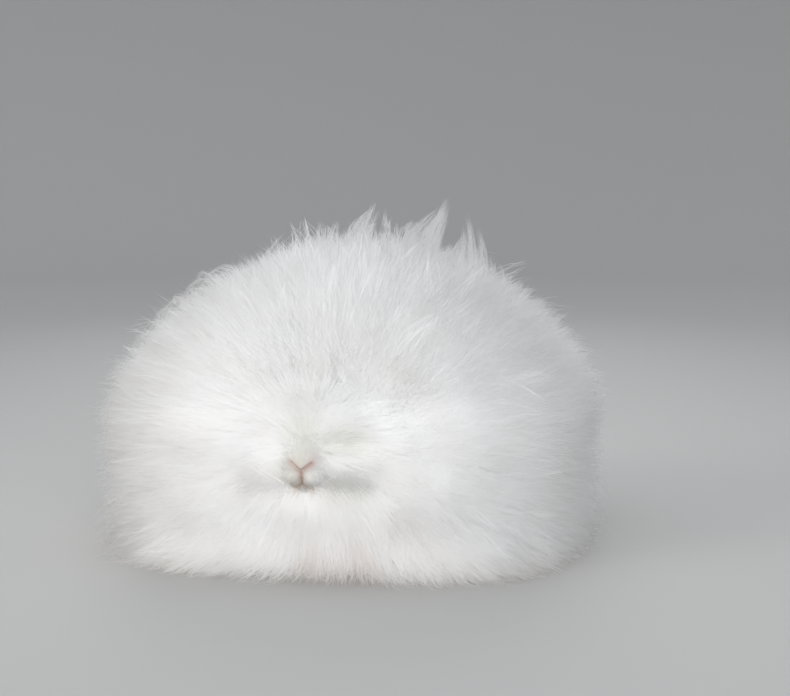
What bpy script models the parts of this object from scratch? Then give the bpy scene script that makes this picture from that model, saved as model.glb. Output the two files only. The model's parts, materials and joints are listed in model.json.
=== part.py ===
"""A white English angora rabbit in full show coat, sitting still, at life size.

Metres, +Z up. The rabbit faces -Y and its left side is +X. The origin is on the floor, under
the middle of the coat, where the belly touches it.
"""

import math
import random

import bmesh
import bpy
from mathutils import Matrix, Vector
from mathutils.bvhtree import BVHTree

# The gap that touching pieces keep
GAP = 0.0004

# The coat's outer form: a dome with nearly upright sides
COAT_CENTRE = Vector((0.0, 0.0, 0.080))
COAT_HALF_WIDTH = 0.272
COAT_HALF_LENGTH = 0.264
COAT_HEIGHT = 0.338
COAT_MIDDLE_Y = 0.020
WAIST_HEIGHT = 0.138
TOP_LEAN = 0.018
SKIRT_TUCK = 0.04
COAT_SQUARE = 3.0
COAT_ROUND = 1.75
CORE_SHARE = 0.5
FACE_DIP = 0.10
FACE_DIP_SPREAD = math.radians(12)
FACE_DIP_RISE = math.radians(7)

# The locks of the coat
LOCK_SPOTS = {"neck": 400, "torso": 258, "tail": 520}
LOCK_LOWEST = math.radians(-20)
LOCK_WIDTH = {"neck": 0.047, "torso": 0.060, "tail": 0.042}
LOCK_FLATNESS = 0.15
LOCK_BEND = math.radians(19)
LOCK_SINK = 0.020
ROOT_DEPTH = 0.0002
LOCK_TRIES = 24
LOCK_LIFT = (0.985, 1.035)
WISP_SHARE = 0.16
WISP_LIFT = (1.13, 1.20)
WISP_LOWEST = 0.70
HEAD_LOCK_WIDTH = 0.030
TIP_FLOOR = 0.010
LOCK_RINGS = (0.0, 0.28, 0.55, 0.80)
LOCK_TAPER = (0.62, 1.00, 0.92, 0.58)
LOCK_CUP = 0.05
FLOOR_CLEAR = 0.0012

# The body under the coat
FLESH_CENTRE = Vector((0.0, 0.015, 0.095))
FLESH_HALF = Vector((0.080, 0.125, 0.092))
BELLY_FLAT = 0.050
BELLY_RISE = 0.16
BELLY_DIP = 0.004
BELLY_LIFT = 0.005

# The head
HEAD_CENTRE = Vector((-0.001, -0.199, 0.131))
HEAD_LENGTH = 0.107
HEAD_YAW = math.radians(5)
HEAD_PITCH = math.radians(12)
HEAD_FRAME = (
    Matrix.Translation(HEAD_CENTRE)
    @ Matrix.Rotation(HEAD_YAW, 4, "Z")
    @ Matrix.Rotation(HEAD_PITCH, 4, "X")
)
FACE_AXIS = (HEAD_CENTRE - COAT_CENTRE).normalized()
FACE_CLEAR = math.radians(13)
CHIN_CLEAR = math.radians(9)
EYE_RADIUS = 0.0088
EYE_PLACE = Vector((0.0245, -0.004, 0.013))
LID_WALL = 0.0024
LID_OPENING = Vector((0.0060, 0.0072, 0.0052))
NOSE_Y = -HEAD_LENGTH / 2

# The neck
NECK_TURN = math.radians(36)
NECK_NEAR = 0.100
ROOT_MARGIN = math.radians(6.0)
EDGE_BEND = 0.12
EDGE_EASE = math.radians(62)

# The ears
EAR_LENGTH = 0.100
EAR_WIDTH = 0.042
EAR_WALL = 0.0028
EAR_ROOT = Vector((0.0160, 0.0300, 0.0240))
EAR_DIRECTION = Vector((0.38, 0.52, 0.76)).normalized()
EAR_LOCK_WIDTH = 0.015
# Share of the length, half width of the wall over the ear's width, and half the turn in degrees
EAR_STATIONS = (
    (-0.12, 0.20, 150),
    (0.06, 0.24, 130),
    (0.22, 0.36, 100),
    (0.42, 0.50, 75),
    (0.62, 0.50, 65),
    (0.80, 0.38, 60),
    (0.93, 0.22, 60),
    (1.00, 0.08, 60),
)
EAR_ROOM = 0.0045

# The tail
TAIL_AXIS = Vector((0.0, 0.985, -0.12)).normalized()
TAIL_TURN = math.radians(14)
TAIL_NEAR = 0.128

# The legs
PAW_X = 0.036
FOOT_X = 0.072
PAW_TIP_Y = -0.166
FOOT_TIP_Y = -0.032
TOE_SPLIT = 0.0012
TOE_LENGTH = 0.012


def finish_material(name, colour, roughness):
    """A Principled material in one colour."""
    material = bpy.data.materials.new(name)
    material.use_nodes = True
    shader = material.node_tree.nodes["Principled BSDF"]
    shader.inputs["Base Color"].default_value = (*colour, 1.0)
    shader.inputs["Roughness"].default_value = roughness
    shader.inputs["Metallic"].default_value = 0.0
    return material


def mesh_object(name, points, faces, material=None):
    """A mesh object from points and faces, with its faces turned outwards."""
    mesh = bpy.data.meshes.new(name)
    mesh.from_pydata([tuple(p) for p in points], [], faces)
    shape = bmesh.new()
    shape.from_mesh(mesh)
    bmesh.ops.recalc_face_normals(shape, faces=shape.faces)
    shape.to_mesh(mesh)
    shape.free()
    if material:
        mesh.materials.append(material)
    thing = bpy.data.objects.new(name, mesh)
    bpy.context.scene.collection.objects.link(thing)
    return thing


def skin_rings(rings):
    """Faces that join equal rings of points end to end, with a fan on each end."""
    count = len(rings[0])
    points = [p for ring in rings for p in ring]
    faces = []
    for i in range(len(rings) - 1):
        for k in range(count):
            a = i * count + k
            b = i * count + (k + 1) % count
            faces.append((a, b, b + count))
            faces.append((a, b + count, a + count))
    for ring, base in ((rings[0], 0), (rings[-1], len(points) - count)):
        middle = sum(ring, Vector()) / count
        points.append(middle)
        hub = len(points) - 1
        for k in range(count):
            faces.append((base + k, base + (k + 1) % count, hub))
    return points, faces


def loft(name, stations, frame, sides=16, material=None):
    """A closed form through stations of (place, half width, rise, drop) in a local frame.

    The sections stand across the local Y axis, or across the line between the stations where it turns.
    """
    places = [Vector(s[0]) for s in stations]
    rings = []
    for i, (place, half_width, rise, drop) in enumerate(stations):
        along = places[min(i + 1, len(places) - 1)] - places[max(i - 1, 0)]
        side = Vector((1, 0, 0))
        up = side.cross(along).normalized()
        if up.z < 0:
            up.negate()
        ring = []
        for k in range(sides):
            turn = 2 * math.pi * k / sides
            height = math.sin(turn) * (rise if math.sin(turn) > 0 else drop)
            ring.append(frame @ (places[i] + side * (half_width * math.cos(turn)) + up * height))
        rings.append(ring)
    return mesh_object(name, *skin_rings(rings), material)


def turned(name, profile, origin, axis, sides=18):
    """A closed solid of revolution: profile holds (distance along the axis, radius)."""
    side = axis.orthogonal().normalized()
    up = axis.cross(side)
    rings = []
    for along, radius in profile:
        ring = []
        for k in range(sides):
            turn = 2 * math.pi * k / sides
            spoke = side * math.cos(turn) + up * math.sin(turn)
            ring.append(origin + axis * along + spoke * radius)
        rings.append(ring)
    return mesh_object(name, *skin_rings(rings))


def cone_cell(name, axis, turn, near, far=0.48, steps=2):
    """The space within an angle of an axis from the coat's centre, past a near distance."""
    tiny = 0.02
    profile = []
    for i in range(steps + 1):
        angle = turn * (tiny + (1 - tiny) * i / steps)
        profile.append((near * math.cos(angle), near * math.sin(angle)))
    profile.append((far * math.cos(turn), far * math.sin(turn)))
    return turned(name, profile, COAT_CENTRE, axis)


def ball(name, centre, half, frame=Matrix.Identity(4), subdivisions=3, material=None):
    """An ellipsoid in a local frame."""
    shape = bmesh.new()
    bmesh.ops.create_icosphere(shape, subdivisions=subdivisions, radius=1.0)
    place = frame @ Matrix.Translation(centre) @ Matrix.Diagonal((*half, 1.0))
    bmesh.ops.transform(shape, matrix=place, verts=shape.verts)
    mesh = bpy.data.meshes.new(name)
    shape.to_mesh(mesh)
    shape.free()
    if material:
        mesh.materials.append(material)
    thing = bpy.data.objects.new(name, mesh)
    bpy.context.scene.collection.objects.link(thing)
    return thing


def combine(target, others, operation, solver="MANIFOLD"):
    """One applied Boolean of the target with closed objects, which are then removed."""
    group = bpy.data.collections.new("operands")
    bpy.context.scene.collection.children.link(group)
    for other in others:
        bpy.context.scene.collection.objects.unlink(other)
        group.objects.link(other)
    modifier = target.modifiers.new(operation.title(), "BOOLEAN")
    modifier.operation = operation
    modifier.operand_type = "COLLECTION"
    modifier.collection = group
    modifier.solver = solver
    graph = bpy.context.evaluated_depsgraph_get()
    mesh = bpy.data.meshes.new_from_object(target.evaluated_get(graph))
    target.modifiers.clear()
    target.data = mesh
    for other in others:
        bpy.data.objects.remove(other)
    bpy.data.collections.remove(group)


def keep_largest(thing):
    """Removes every loose surface of a mesh but the one with the most volume."""
    shape = bmesh.new()
    shape.from_mesh(thing.data)
    bmesh.ops.triangulate(shape, faces=shape.faces)
    unseen = set(shape.verts)
    islands = []
    while unseen:
        front = [unseen.pop()]
        island = set(front)
        while front:
            for edge in front.pop().link_edges:
                for vert in edge.verts:
                    if vert in unseen:
                        unseen.remove(vert)
                        island.add(vert)
                        front.append(vert)
        faces = {f for v in island for f in v.link_faces}
        volume = sum(f.verts[0].co.dot(f.verts[1].co.cross(f.verts[2].co)) for f in faces) / 6
        islands.append((volume, island))
    islands.sort(key=lambda entry: entry[0])
    for _, island in islands[:-1]:
        bmesh.ops.delete(shape, geom=list(island), context="VERTS")
    shape.to_mesh(thing.data)
    shape.free()


def copy_of(thing):
    """A separate copy of an object and its mesh."""
    twin = thing.copy()
    twin.data = thing.data.copy()
    bpy.context.scene.collection.objects.link(twin)
    return twin


def power_sum(a, b, power):
    """The length of (a, b) where circles are made squarer, for a power over 2, or more pointed."""
    return (abs(a) ** power + abs(b) ** power) ** (1 / power)


def coat_level(point):
    """Below zero inside the coat's dome, above zero outside it."""
    rise = max(0.0, (point.z - WAIST_HEIGHT) / (COAT_HEIGHT - WAIST_HEIGHT))
    fall = max(0.0, (WAIST_HEIGHT - point.z) / WAIST_HEIGHT)
    back = (point.y - COAT_MIDDLE_Y - TOP_LEAN * rise) / COAT_HALF_LENGTH
    spread = power_sum(point.x / COAT_HALF_WIDTH, back, COAT_SQUARE)
    if rise > 0:
        return power_sum(spread, rise, COAT_ROUND) - 1.0
    return spread - (1.0 - SKIRT_TUCK * fall * fall)


def face_angle(direction):
    """The angle between a direction from the coat's centre and the line to the face."""
    return FACE_AXIS.angle(direction)


def face_dip(direction):
    """How much the coat is drawn in round the face, deepest at the brow."""
    brow = Matrix.Rotation(-FACE_DIP_RISE, 3, "X") @ FACE_AXIS
    return FACE_DIP * math.exp(-((brow.angle(direction) / FACE_DIP_SPREAD) ** 2))


def coat_reach(direction):
    """How far the coat's tips stand from its centre in a direction."""
    low, high = 0.05, 0.60
    for _ in range(22):
        middle = (low + high) / 2
        if coat_level(COAT_CENTRE + direction * middle) < 0:
            low = middle
        else:
            high = middle
    return low * (1 - face_dip(direction))


def flesh_reach(direction):
    """How far the body's skin is from the coat's centre in a direction."""
    start = [(COAT_CENTRE[k] - FLESH_CENTRE[k]) / FLESH_HALF[k] for k in range(3)]
    step = [direction[k] / FLESH_HALF[k] for k in range(3)]
    a = sum(s * s for s in step)
    b = sum(p * s for p, s in zip(start, step))
    c = sum(p * p for p in start) - 1
    return (-b + math.sqrt(b * b - a * c)) / a


def core_point(direction):
    """The point of the dense inner coat's surface in a direction, resting on the floor below."""
    flesh = flesh_reach(direction)
    reach = flesh + CORE_SHARE * (coat_reach(direction) - flesh)
    if direction.z < 0:
        spread = math.hypot(direction.x, direction.y) / -direction.z * COAT_CENTRE.z
        lift = min(BELLY_LIFT, (spread - BELLY_FLAT) * BELLY_RISE - BELLY_DIP)
        lift = max(lift, -BELLY_DIP)
        reach = min(reach, (COAT_CENTRE.z - lift) / -direction.z)
    return COAT_CENTRE + direction * reach


def coat_core(name, material, subdivisions=3):
    """The dense inner coat of the whole rabbit, as one closed form."""
    thing = ball(name, Vector(), Vector((1, 1, 1)), subdivisions=subdivisions, material=material)
    for vert in thing.data.vertices:
        vert.co = core_point(vert.co.normalized())
    return thing


def skull(name, grow=0.0, material=None):
    """The head's own form from the nose to the back of the skull."""
    half = HEAD_LENGTH / 2
    stations = (
        (0.00, 0.0095, 0.0085, 0.0125),
        (0.03, 0.0150, 0.0130, 0.0190),
        (0.10, 0.0195, 0.0180, 0.0240),
        (0.22, 0.0225, 0.0230, 0.0255),
        (0.38, 0.0260, 0.0290, 0.0265),
        (0.52, 0.0300, 0.0330, 0.0285),
        (0.68, 0.0335, 0.0345, 0.0300),
        (0.84, 0.0310, 0.0310, 0.0270),
        (0.95, 0.0220, 0.0230, 0.0190),
        (1.00, 0.0100, 0.0110, 0.0090),
    )
    rings = []
    for share, half_width, rise, drop in stations:
        y = -half + HEAD_LENGTH * share
        y += math.copysign(grow, share - 0.5)
        rings.append(((0, y, 0), half_width + grow, rise + grow, drop + grow))
    return loft(name, rings, HEAD_FRAME, sides=16, material=material)


def lock_lie(direction):
    """The way the coat falls at a direction: away from the face, and down."""
    away = direction.cross(FACE_AXIS).cross(direction)
    away = -away.normalized() if away.length > 0.001 else Vector((0, 1, 0))
    nearness = math.exp(-((face_angle(direction) / math.radians(55)) ** 2))
    lie = away * (0.35 + 0.65 * nearness) + Vector((0, 0.15, -0.9)) * (1 - 0.85 * nearness)
    lie -= direction * lie.dot(direction)
    return lie.normalized()


def cell_owner(direction):
    """The node whose coat grows in a direction from the coat's centre."""
    if TAIL_AXIS.angle(direction) < TAIL_TURN:
        return "tail"
    if face_angle(direction) < NECK_TURN:
        return "neck"
    return "torso"


def keep_from_edge(direction, axis, turn, margin, inside):
    """A direction moved to a margin inside or outside a cone about an axis."""
    angle = axis.angle(direction)
    limit = max(turn - margin, 0.0) if inside else turn + margin
    if (angle <= limit) if inside else (angle >= limit):
        return direction
    return axis.slerp(direction, limit / angle)


def root_direction(direction, owner):
    """Where a lock for a direction is rooted, clear of the edges of its node's core."""
    if owner == "tail":
        return keep_from_edge(direction, TAIL_AXIS, TAIL_TURN, ROOT_MARGIN, True)
    if owner == "neck":
        return keep_from_edge(direction, FACE_AXIS, NECK_TURN, ROOT_MARGIN, True)
    direction = keep_from_edge(direction, FACE_AXIS, NECK_TURN, ROOT_MARGIN, False)
    return keep_from_edge(direction, TAIL_AXIS, TAIL_TURN, ROOT_MARGIN, False)


def coat_path(direction, owner, bend, swing, lift):
    """A lock's middle line, from its sunk root out to its tip, and the outward way at each point."""
    root = root_direction(direction, owner)
    lie = lock_lie(direction)
    side = lie.cross(direction)
    lean = (lie * math.cos(swing) + side * math.sin(swing)).normalized()
    if owner == "torso":
        bend *= min(1.0, EDGE_BEND + (face_angle(direction) - NECK_TURN) / EDGE_EASE)
    tip = (direction * math.cos(bend) + lean * math.sin(bend)).normalized()
    low_edge = LOCK_LOWEST * 0.45
    if root.z < math.sin(low_edge):
        flat = Vector((root.x, root.y, 0)).normalized()
        root = flat * math.cos(low_edge) + Vector((0, 0, math.sin(low_edge)))
    near = (core_point(root) - COAT_CENTRE).length - LOCK_SINK
    far = coat_reach(tip) * lift
    lowest = (TIP_FLOOR - COAT_CENTRE.z) / far
    if tip.z < lowest:
        flat = Vector((tip.x, tip.y, 0)).normalized()
        tip = flat * math.sqrt(1 - lowest * lowest) + Vector((0, 0, lowest))
        far = coat_reach(tip) * lift
    points = []
    for share in (*LOCK_RINGS, 1.0):
        heading = root.slerp(tip, share ** 1.5)
        reach = near + (far - near) * (1 - (1 - share) ** 1.4)
        points.append(COAT_CENTRE + heading * reach)
    outward = [(point - COAT_CENTRE).normalized() for point in points]
    return points, outward


def raised(points, level):
    """Points moved straight up together until none is under a level."""
    rise = max(0.0, level - min(point.z for point in points))
    return [point + Vector((0, 0, rise)) for point in points]


def lock_form(points, outward, width, level, grow=0.0):
    """Points and faces of one flat, tapered lock along a middle line, its broad side outwards.

    No point of it is under its own level over the floor.
    """
    rings = []
    for i, taper in enumerate(LOCK_TAPER):
        along = (points[i + 1] - points[max(i - 1, 0)]).normalized()
        side = along.cross(outward[i]).normalized()
        up = side.cross(along)
        half = width * taper / 2 + grow
        thick = max(width * taper * LOCK_FLATNESS, 0.0012) / 2 + grow
        sag = width * taper * LOCK_CUP
        ring = [
            points[i] + side * half - up * sag,
            points[i] + up * thick,
            points[i] - side * half - up * sag,
            points[i] - up * thick,
        ]
        rings.append(raised(ring, level - grow))
    count = len(rings)
    flat = [point for ring in rings for point in ring]
    flat += raised([points[-1] + (points[-1] - points[-2]).normalized() * grow], level - grow)
    faces = [(0, 1, 2), (0, 2, 3)]
    for i in range(count - 1):
        for k in range(4):
            a = 4 * i + k
            b = 4 * i + (k + 1) % 4
            if k % 2:
                faces += [(a, b, a + 4), (b, b + 4, a + 4)]
            else:
                faces += [(a, b, b + 4), (a, b + 4, a + 4)]
    last = 4 * (count - 1)
    tip = 4 * count
    for k in range(4):
        faces.append((last + k, last + (k + 1) % 4, tip))
    return flat, faces


def tree_of(thing):
    """A search tree of an object's faces."""
    points = [vert.co.copy() for vert in thing.data.vertices]
    faces = [tuple(face.vertices) for face in thing.data.polygons]
    return BVHTree.FromPolygons(points, faces)


def form_is_clear(form, trees):
    """Whether a lock's form crosses none of the search trees."""
    tree = BVHTree.FromPolygons(*form)
    return not any(tree.overlap(other) for other in trees)


def root_is_inside(points, core_tree, depth):
    """Whether points are all at a depth inside a closed form."""
    for point in points:
        place, normal, _, _ = core_tree.find_nearest(point)
        if (point - place).dot(normal) > -depth:
            return False
    return True


def grow_locks(node, plans, others, core_tree):
    """Locks from plans of (path function, width, level) that cross no other node, as objects.

    Each lock is tried in several ways. One that crosses none of its own node's locks is taken
    first, then one that does.
    """
    grown = []
    own_trees = []
    for path_of, width, level in plans:
        spare = None
        chosen = None
        for attempt in range(LOCK_TRIES):
            points, outward = path_of(attempt)
            slim = width * (1 - 0.015 * attempt)
            form = lock_form(points, outward, slim, level)
            if not root_is_inside(form[0][:4], core_tree, ROOT_DEPTH):
                continue
            wide = lock_form(points, outward, slim, level, grow=GAP)
            if not form_is_clear(wide, others):
                continue
            if form_is_clear(form, own_trees):
                chosen = form
                break
            spare = spare or form
        chosen = chosen or spare
        if chosen is None:
            continue
        own_trees.append(BVHTree.FromPolygons(*chosen))
        grown.append(mesh_object(f"{node.name}_lock", *chosen))
    return grown


def fibonacci_directions(count):
    """Evenly spread directions over a ball."""
    spots = []
    for i in range(count):
        z = 1 - (2 * i + 1) / count
        turn = i * math.pi * (3 - math.sqrt(5))
        flat = math.sqrt(1 - z * z)
        spots.append(Vector((flat * math.cos(turn), flat * math.sin(turn), z)))
    return spots


def coat_plans(owner, chance):
    """The plans of a node's coat locks, one for each spot in its cell."""
    plans = []
    for spot in fibonacci_directions(LOCK_SPOTS[owner]):
        if spot.z < math.sin(LOCK_LOWEST) or cell_owner(spot) != owner:
            continue
        clear = CHIN_CLEAR if spot.z < FACE_AXIS.z else FACE_CLEAR
        if owner == "neck" and face_angle(spot) < clear:
            continue
        base_bend = LOCK_BEND * chance.uniform(0.75, 1.25)
        base_swing = chance.uniform(-0.45, 0.45)
        is_wisp = spot.z > WISP_LOWEST and chance.random() < WISP_SHARE
        base_lift = chance.uniform(*(WISP_LIFT if is_wisp else LOCK_LIFT))
        turns = [(chance.uniform(-0.5, 0.5), chance.uniform(0.55, 1.2)) for _ in range(LOCK_TRIES)]

        def path_of(attempt, spot=spot, bend=base_bend, swing=base_swing, lift=base_lift, turns=turns):
            if attempt:
                swing = swing + turns[attempt][0]
                bend = bend * turns[attempt][1]
            return coat_path(spot, owner, bend, swing, lift)

        width = LOCK_WIDTH[owner] * chance.uniform(0.85, 1.15)
        plans.append((path_of, width, FLOOR_CLEAR + chance.uniform(0.0, 0.006)))
    return plans


def side_frame(side):
    """A frame that mirrors X for the right side."""
    return Matrix.Diagonal((side, 1, 1, 1))


def foreleg_parts(side, grow):
    """The bent upper leg and forearm, then the paw, as closed forms."""
    arm = (
        ((0.046, -0.020, 0.085), 0.020, 0.026, 0.026),
        ((0.048, -0.045, 0.062), 0.019, 0.024, 0.024),
        ((0.046, -0.070, 0.040), 0.016, 0.018, 0.018),
        ((0.041, -0.095, 0.024), 0.013, 0.013, 0.013),
        ((0.037, -0.120, 0.016), 0.012, 0.011, 0.011),
    )
    paw = (
        ((PAW_X, -0.105, 0.012), 0.010, 0.010, 0.014),
        ((PAW_X, -0.120, 0.012), 0.0125, 0.011, 0.014),
        ((PAW_X, -0.142, 0.011), 0.0140, 0.011, 0.013),
        ((PAW_X, -0.158, 0.009), 0.0130, 0.009, 0.011),
        ((PAW_X, PAW_TIP_Y, 0.007), 0.0080, 0.005, 0.008),
    )
    return limb_forms("foreleg_form", (arm, paw), side, grow)


def hind_leg_parts(side, grow):
    """The folded thigh and shank, then the long foot, as closed forms."""
    thigh = (
        ((0.052, 0.118, 0.070), 0.012, 0.022, 0.022),
        ((0.060, 0.100, 0.068), 0.026, 0.042, 0.040),
        ((0.064, 0.065, 0.066), 0.032, 0.052, 0.046),
        ((0.066, 0.030, 0.058), 0.029, 0.044, 0.040),
        ((0.066, 0.004, 0.050), 0.020, 0.026, 0.026),
        ((0.066, -0.010, 0.046), 0.010, 0.012, 0.012),
    )
    shank = (
        ((FOOT_X, 0.020, 0.036), 0.012, 0.012, 0.012),
        ((FOOT_X, 0.060, 0.030), 0.014, 0.014, 0.014),
        ((FOOT_X, 0.095, 0.020), 0.012, 0.012, 0.012),
        ((FOOT_X, 0.112, 0.013), 0.010, 0.011, 0.011),
    )
    foot = (
        ((FOOT_X, 0.118, 0.010), 0.009, 0.010, 0.012),
        ((FOOT_X, 0.100, 0.011), 0.0130, 0.012, 0.013),
        ((FOOT_X, 0.050, 0.011), 0.0150, 0.012, 0.013),
        ((FOOT_X, 0.000, 0.011), 0.0175, 0.012, 0.013),
        ((FOOT_X, -0.022, 0.009), 0.0165, 0.010, 0.011),
        ((FOOT_X, FOOT_TIP_Y, 0.007), 0.0100, 0.006, 0.008),
    )
    return limb_forms("hind_leg_form", (thigh, shank, foot), side, grow)


def limb_forms(name, forms, side, grow):
    """Each list of stations lofted on one side, wider all round by a clearance."""
    made = []
    for stations in forms:
        wider = [
            (place, half_width + grow, rise + grow, drop + grow)
            for place, half_width, rise, drop in stations
        ]
        first, last = Vector(wider[0][0]), Vector(wider[-1][0])
        ahead = (Vector(wider[1][0]) - first).normalized() * grow
        behind = (last - Vector(wider[-2][0])).normalized() * grow
        wider[0] = (first - ahead, *wider[0][1:])
        wider[-1] = (last + behind, *wider[-1][1:])
        made.append(loft(name, wider, side_frame(side), sides=8))
    return made


def block(name, low, high):
    """A box between two corners."""
    shape = bmesh.new()
    bmesh.ops.create_cube(shape, size=1.0)
    middle = Matrix.Translation((Vector(low) + Vector(high)) / 2)
    size = Matrix.Diagonal((*(Vector(high) - Vector(low)), 1))
    bmesh.ops.transform(shape, matrix=middle @ size, verts=shape.verts)
    mesh = bpy.data.meshes.new(name)
    shape.to_mesh(mesh)
    shape.free()
    thing = bpy.data.objects.new(name, mesh)
    bpy.context.scene.collection.objects.link(thing)
    return thing


def floor_cutter():
    """A block under the floor, which cuts the flat soles and the flat under the belly."""
    return block("floor_cutter", (-0.3, -0.3, -0.1), (0.3, 0.3, 0.0))


def toe_splits(x, tip_y, toes, spread):
    """Thin blocks that part the toes of one foot from the front."""
    splits = []
    for i in range(toes - 1):
        middle = x + spread * (i - (toes - 2) / 2)
        low = (middle - TOE_SPLIT / 2, tip_y - 0.01, 0.003)
        splits.append(block("toe_split", low, (middle + TOE_SPLIT / 2, tip_y + TOE_LENGTH, 0.03)))
    return splits


def leg(name, parts, splits, material):
    """One leg fused from its forms, with a flat sole and parted toes."""
    thing = parts[0]
    thing.name = name
    thing.data.materials.append(material)
    combine(thing, parts[1:], "UNION")
    combine(thing, [floor_cutter(), *splits], "DIFFERENCE")
    keep_largest(thing)
    return thing


def plate(name, outline, thickness, frame):
    """A plate of one thickness from an outline of points, as a cutter."""
    half = Vector((0, 0, thickness / 2))
    count = len(outline)
    points = [frame @ (p - half) for p in outline] + [frame @ (p + half) for p in outline]
    faces = [tuple(range(count)), tuple(range(count, 2 * count))]
    for k in range(count):
        faces.append((k, (k + 1) % count, (k + 1) % count + count, k + count))
    return mesh_object(name, points, faces)


def lip_forms():
    """The two pads of the upper lip, the nose between them, and the lower lip."""
    forms = []
    for side in (1, -1):
        pad = Vector((side * 0.0075, NOSE_Y + 0.0080, -0.0080))
        forms.append(ball("lip_pad", pad, Vector((0.0090, 0.0100, 0.0095)), HEAD_FRAME, 2))
    nose = Vector((0, NOSE_Y + 0.0030, 0.0020))
    forms.append(ball("nose_pad", nose, Vector((0.0070, 0.0050, 0.0050)), HEAD_FRAME, 2))
    lower = Vector((0, NOSE_Y + 0.0125, -0.0215))
    forms.append(ball("lower_lip", lower, Vector((0.0085, 0.0095, 0.0060)), HEAD_FRAME, 2))
    return forms


def mouth_cutters():
    """The nostril slits, the split of the upper lip and the line of the mouth."""
    cutters = []
    for side in (1, -1):
        place = Matrix.Translation((side * 0.0040, NOSE_Y - 0.0012, 0.0028))
        slit = HEAD_FRAME @ place @ Matrix.Rotation(side * math.radians(-32), 4, "Y")
        cutters.append(ball("nostril", Vector(), Vector((0.0036, 0.0026, 0.0008)), slit, 2))
    split = Vector((0, NOSE_Y - 0.0004, -0.0085))
    cutters.append(ball("lip_split", split, Vector((0.0006, 0.0045, 0.0088)), HEAD_FRAME, 2))
    outline = []
    arc = [math.pi * k / 8 for k in range(9)]
    for half_width, depth, turns in ((0.0190, 0.0250, arc), (0.0085, 0.0140, reversed(arc))):
        for turn in turns:
            x = half_width * math.cos(turn)
            y = NOSE_Y + 0.0230 - depth * math.sin(turn)
            outline.append(Vector((x, y, -0.0165 - 0.30 * abs(x))))
    cutters.append(plate("mouth_line", outline, 0.0011, HEAD_FRAME))
    return cutters


def eye_forms(side):
    """The lid's ball, and the cutters for the eye's room and the opening between the lids."""
    place = Vector((side * EYE_PLACE.x, EYE_PLACE.y, EYE_PLACE.z))
    lid = ball("lid", place, Vector((1, 1, 1)) * (EYE_RADIUS + LID_WALL), HEAD_FRAME, 2)
    room = ball("eye_room", place, Vector((1, 1, 1)) * (EYE_RADIUS + GAP), HEAD_FRAME, 2)
    outer = place + Vector((side * 0.9, -0.13, 0.07)) * EYE_RADIUS
    opening = ball("lid_opening", outer, LID_OPENING, HEAD_FRAME, 2)
    return lid, [room, opening]


def bezier_path(start, middle, end):
    """Points of a smooth bend from a root to a tip, at a lock's ring places."""
    points = []
    for share in (*LOCK_RINGS, 1.0):
        first = start.lerp(middle, share)
        points.append(first.lerp(middle.lerp(end, share), share))
    return points


def head_plans(chance):
    """The locks of the head: (root, bend and tip in the head's frame, width)."""
    width = HEAD_LOCK_WIDTH
    groups = []
    for i in range(5):
        across = (i - 2) / 2
        root = Vector((0.014 * across, -0.002 + 0.004 * abs(across), 0.024 - 0.006 * abs(across)))
        bend = Vector((0.028 * across, -0.016, 0.066 - 0.020 * abs(across)))
        tip = Vector((0.046 * across, -0.046 + 0.014 * abs(across), 0.032 - 0.014 * abs(across)))
        groups.append((root, bend, tip, width))
    for i in range(4):
        across = (i - 1.5) / 1.5
        root = Vector((0.015 * across, 0.010, 0.024 - 0.004 * abs(across)))
        bend = Vector((0.036 * across, -0.020, 0.062))
        tip = Vector((0.080 * across, -0.008, 0.094 - 0.028 * abs(across)))
        groups.append((root, bend, tip, width * 1.35))
    for side in (1, -1):
        for row in range(4):
            fall = row / 3
            root = Vector((side * 0.020, 0.012 + 0.004 * fall, 0.010 - 0.026 * fall))
            bend = Vector((side * 0.062, -0.010, 0.020 - 0.046 * fall))
            tip = Vector((side * (0.096 - 0.012 * fall), 0.010, 0.034 - 0.096 * fall))
            groups.append((root, bend, tip, width * 1.2))
        root = Vector((side * 0.017, -0.018, -0.009))
        bend = Vector((side * 0.040, -0.030, -0.014))
        tip = Vector((side * 0.062, -0.022, -0.030))
        groups.append((root, bend, tip, width))
    for i in range(5):
        across = (i - 2) / 2
        root = Vector((0.014 * across, -0.002 + 0.004 * abs(across), -0.016))
        bend = Vector((0.030 * across, -0.030, -0.048 + 0.006 * abs(across)))
        tip = Vector((0.066 * across, -0.030 + 0.008 * abs(across), -0.100 + 0.010 * abs(across)))
        groups.append((root, bend, tip, width * 1.2))
    plans = []
    for root, bend, tip, lock_width in groups:
        jitter = [random_offset(chance, 0.004) for _ in range(LOCK_TRIES)]
        reach = chance.uniform(0.92, 1.08)

        def path_of(attempt, root=root, bend=bend, tip=tip, reach=reach, jitter=jitter):
            shift = jitter[attempt] * (1 + attempt / 2)
            end = root.lerp(tip, reach) + shift
            points = bezier_path(root, bend + shift * 0.7, end)
            points = [HEAD_FRAME @ point for point in points]
            outward = [(point - HEAD_CENTRE).normalized() for point in points]
            outward[0] = outward[1]
            return points, outward

        plans.append((path_of, lock_width * chance.uniform(0.9, 1.1), FLOOR_CLEAR))
    return plans


def random_offset(chance, size):
    """A seeded draw from a small cube."""
    return Vector([chance.uniform(-size, size) for _ in range(3)])


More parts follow.
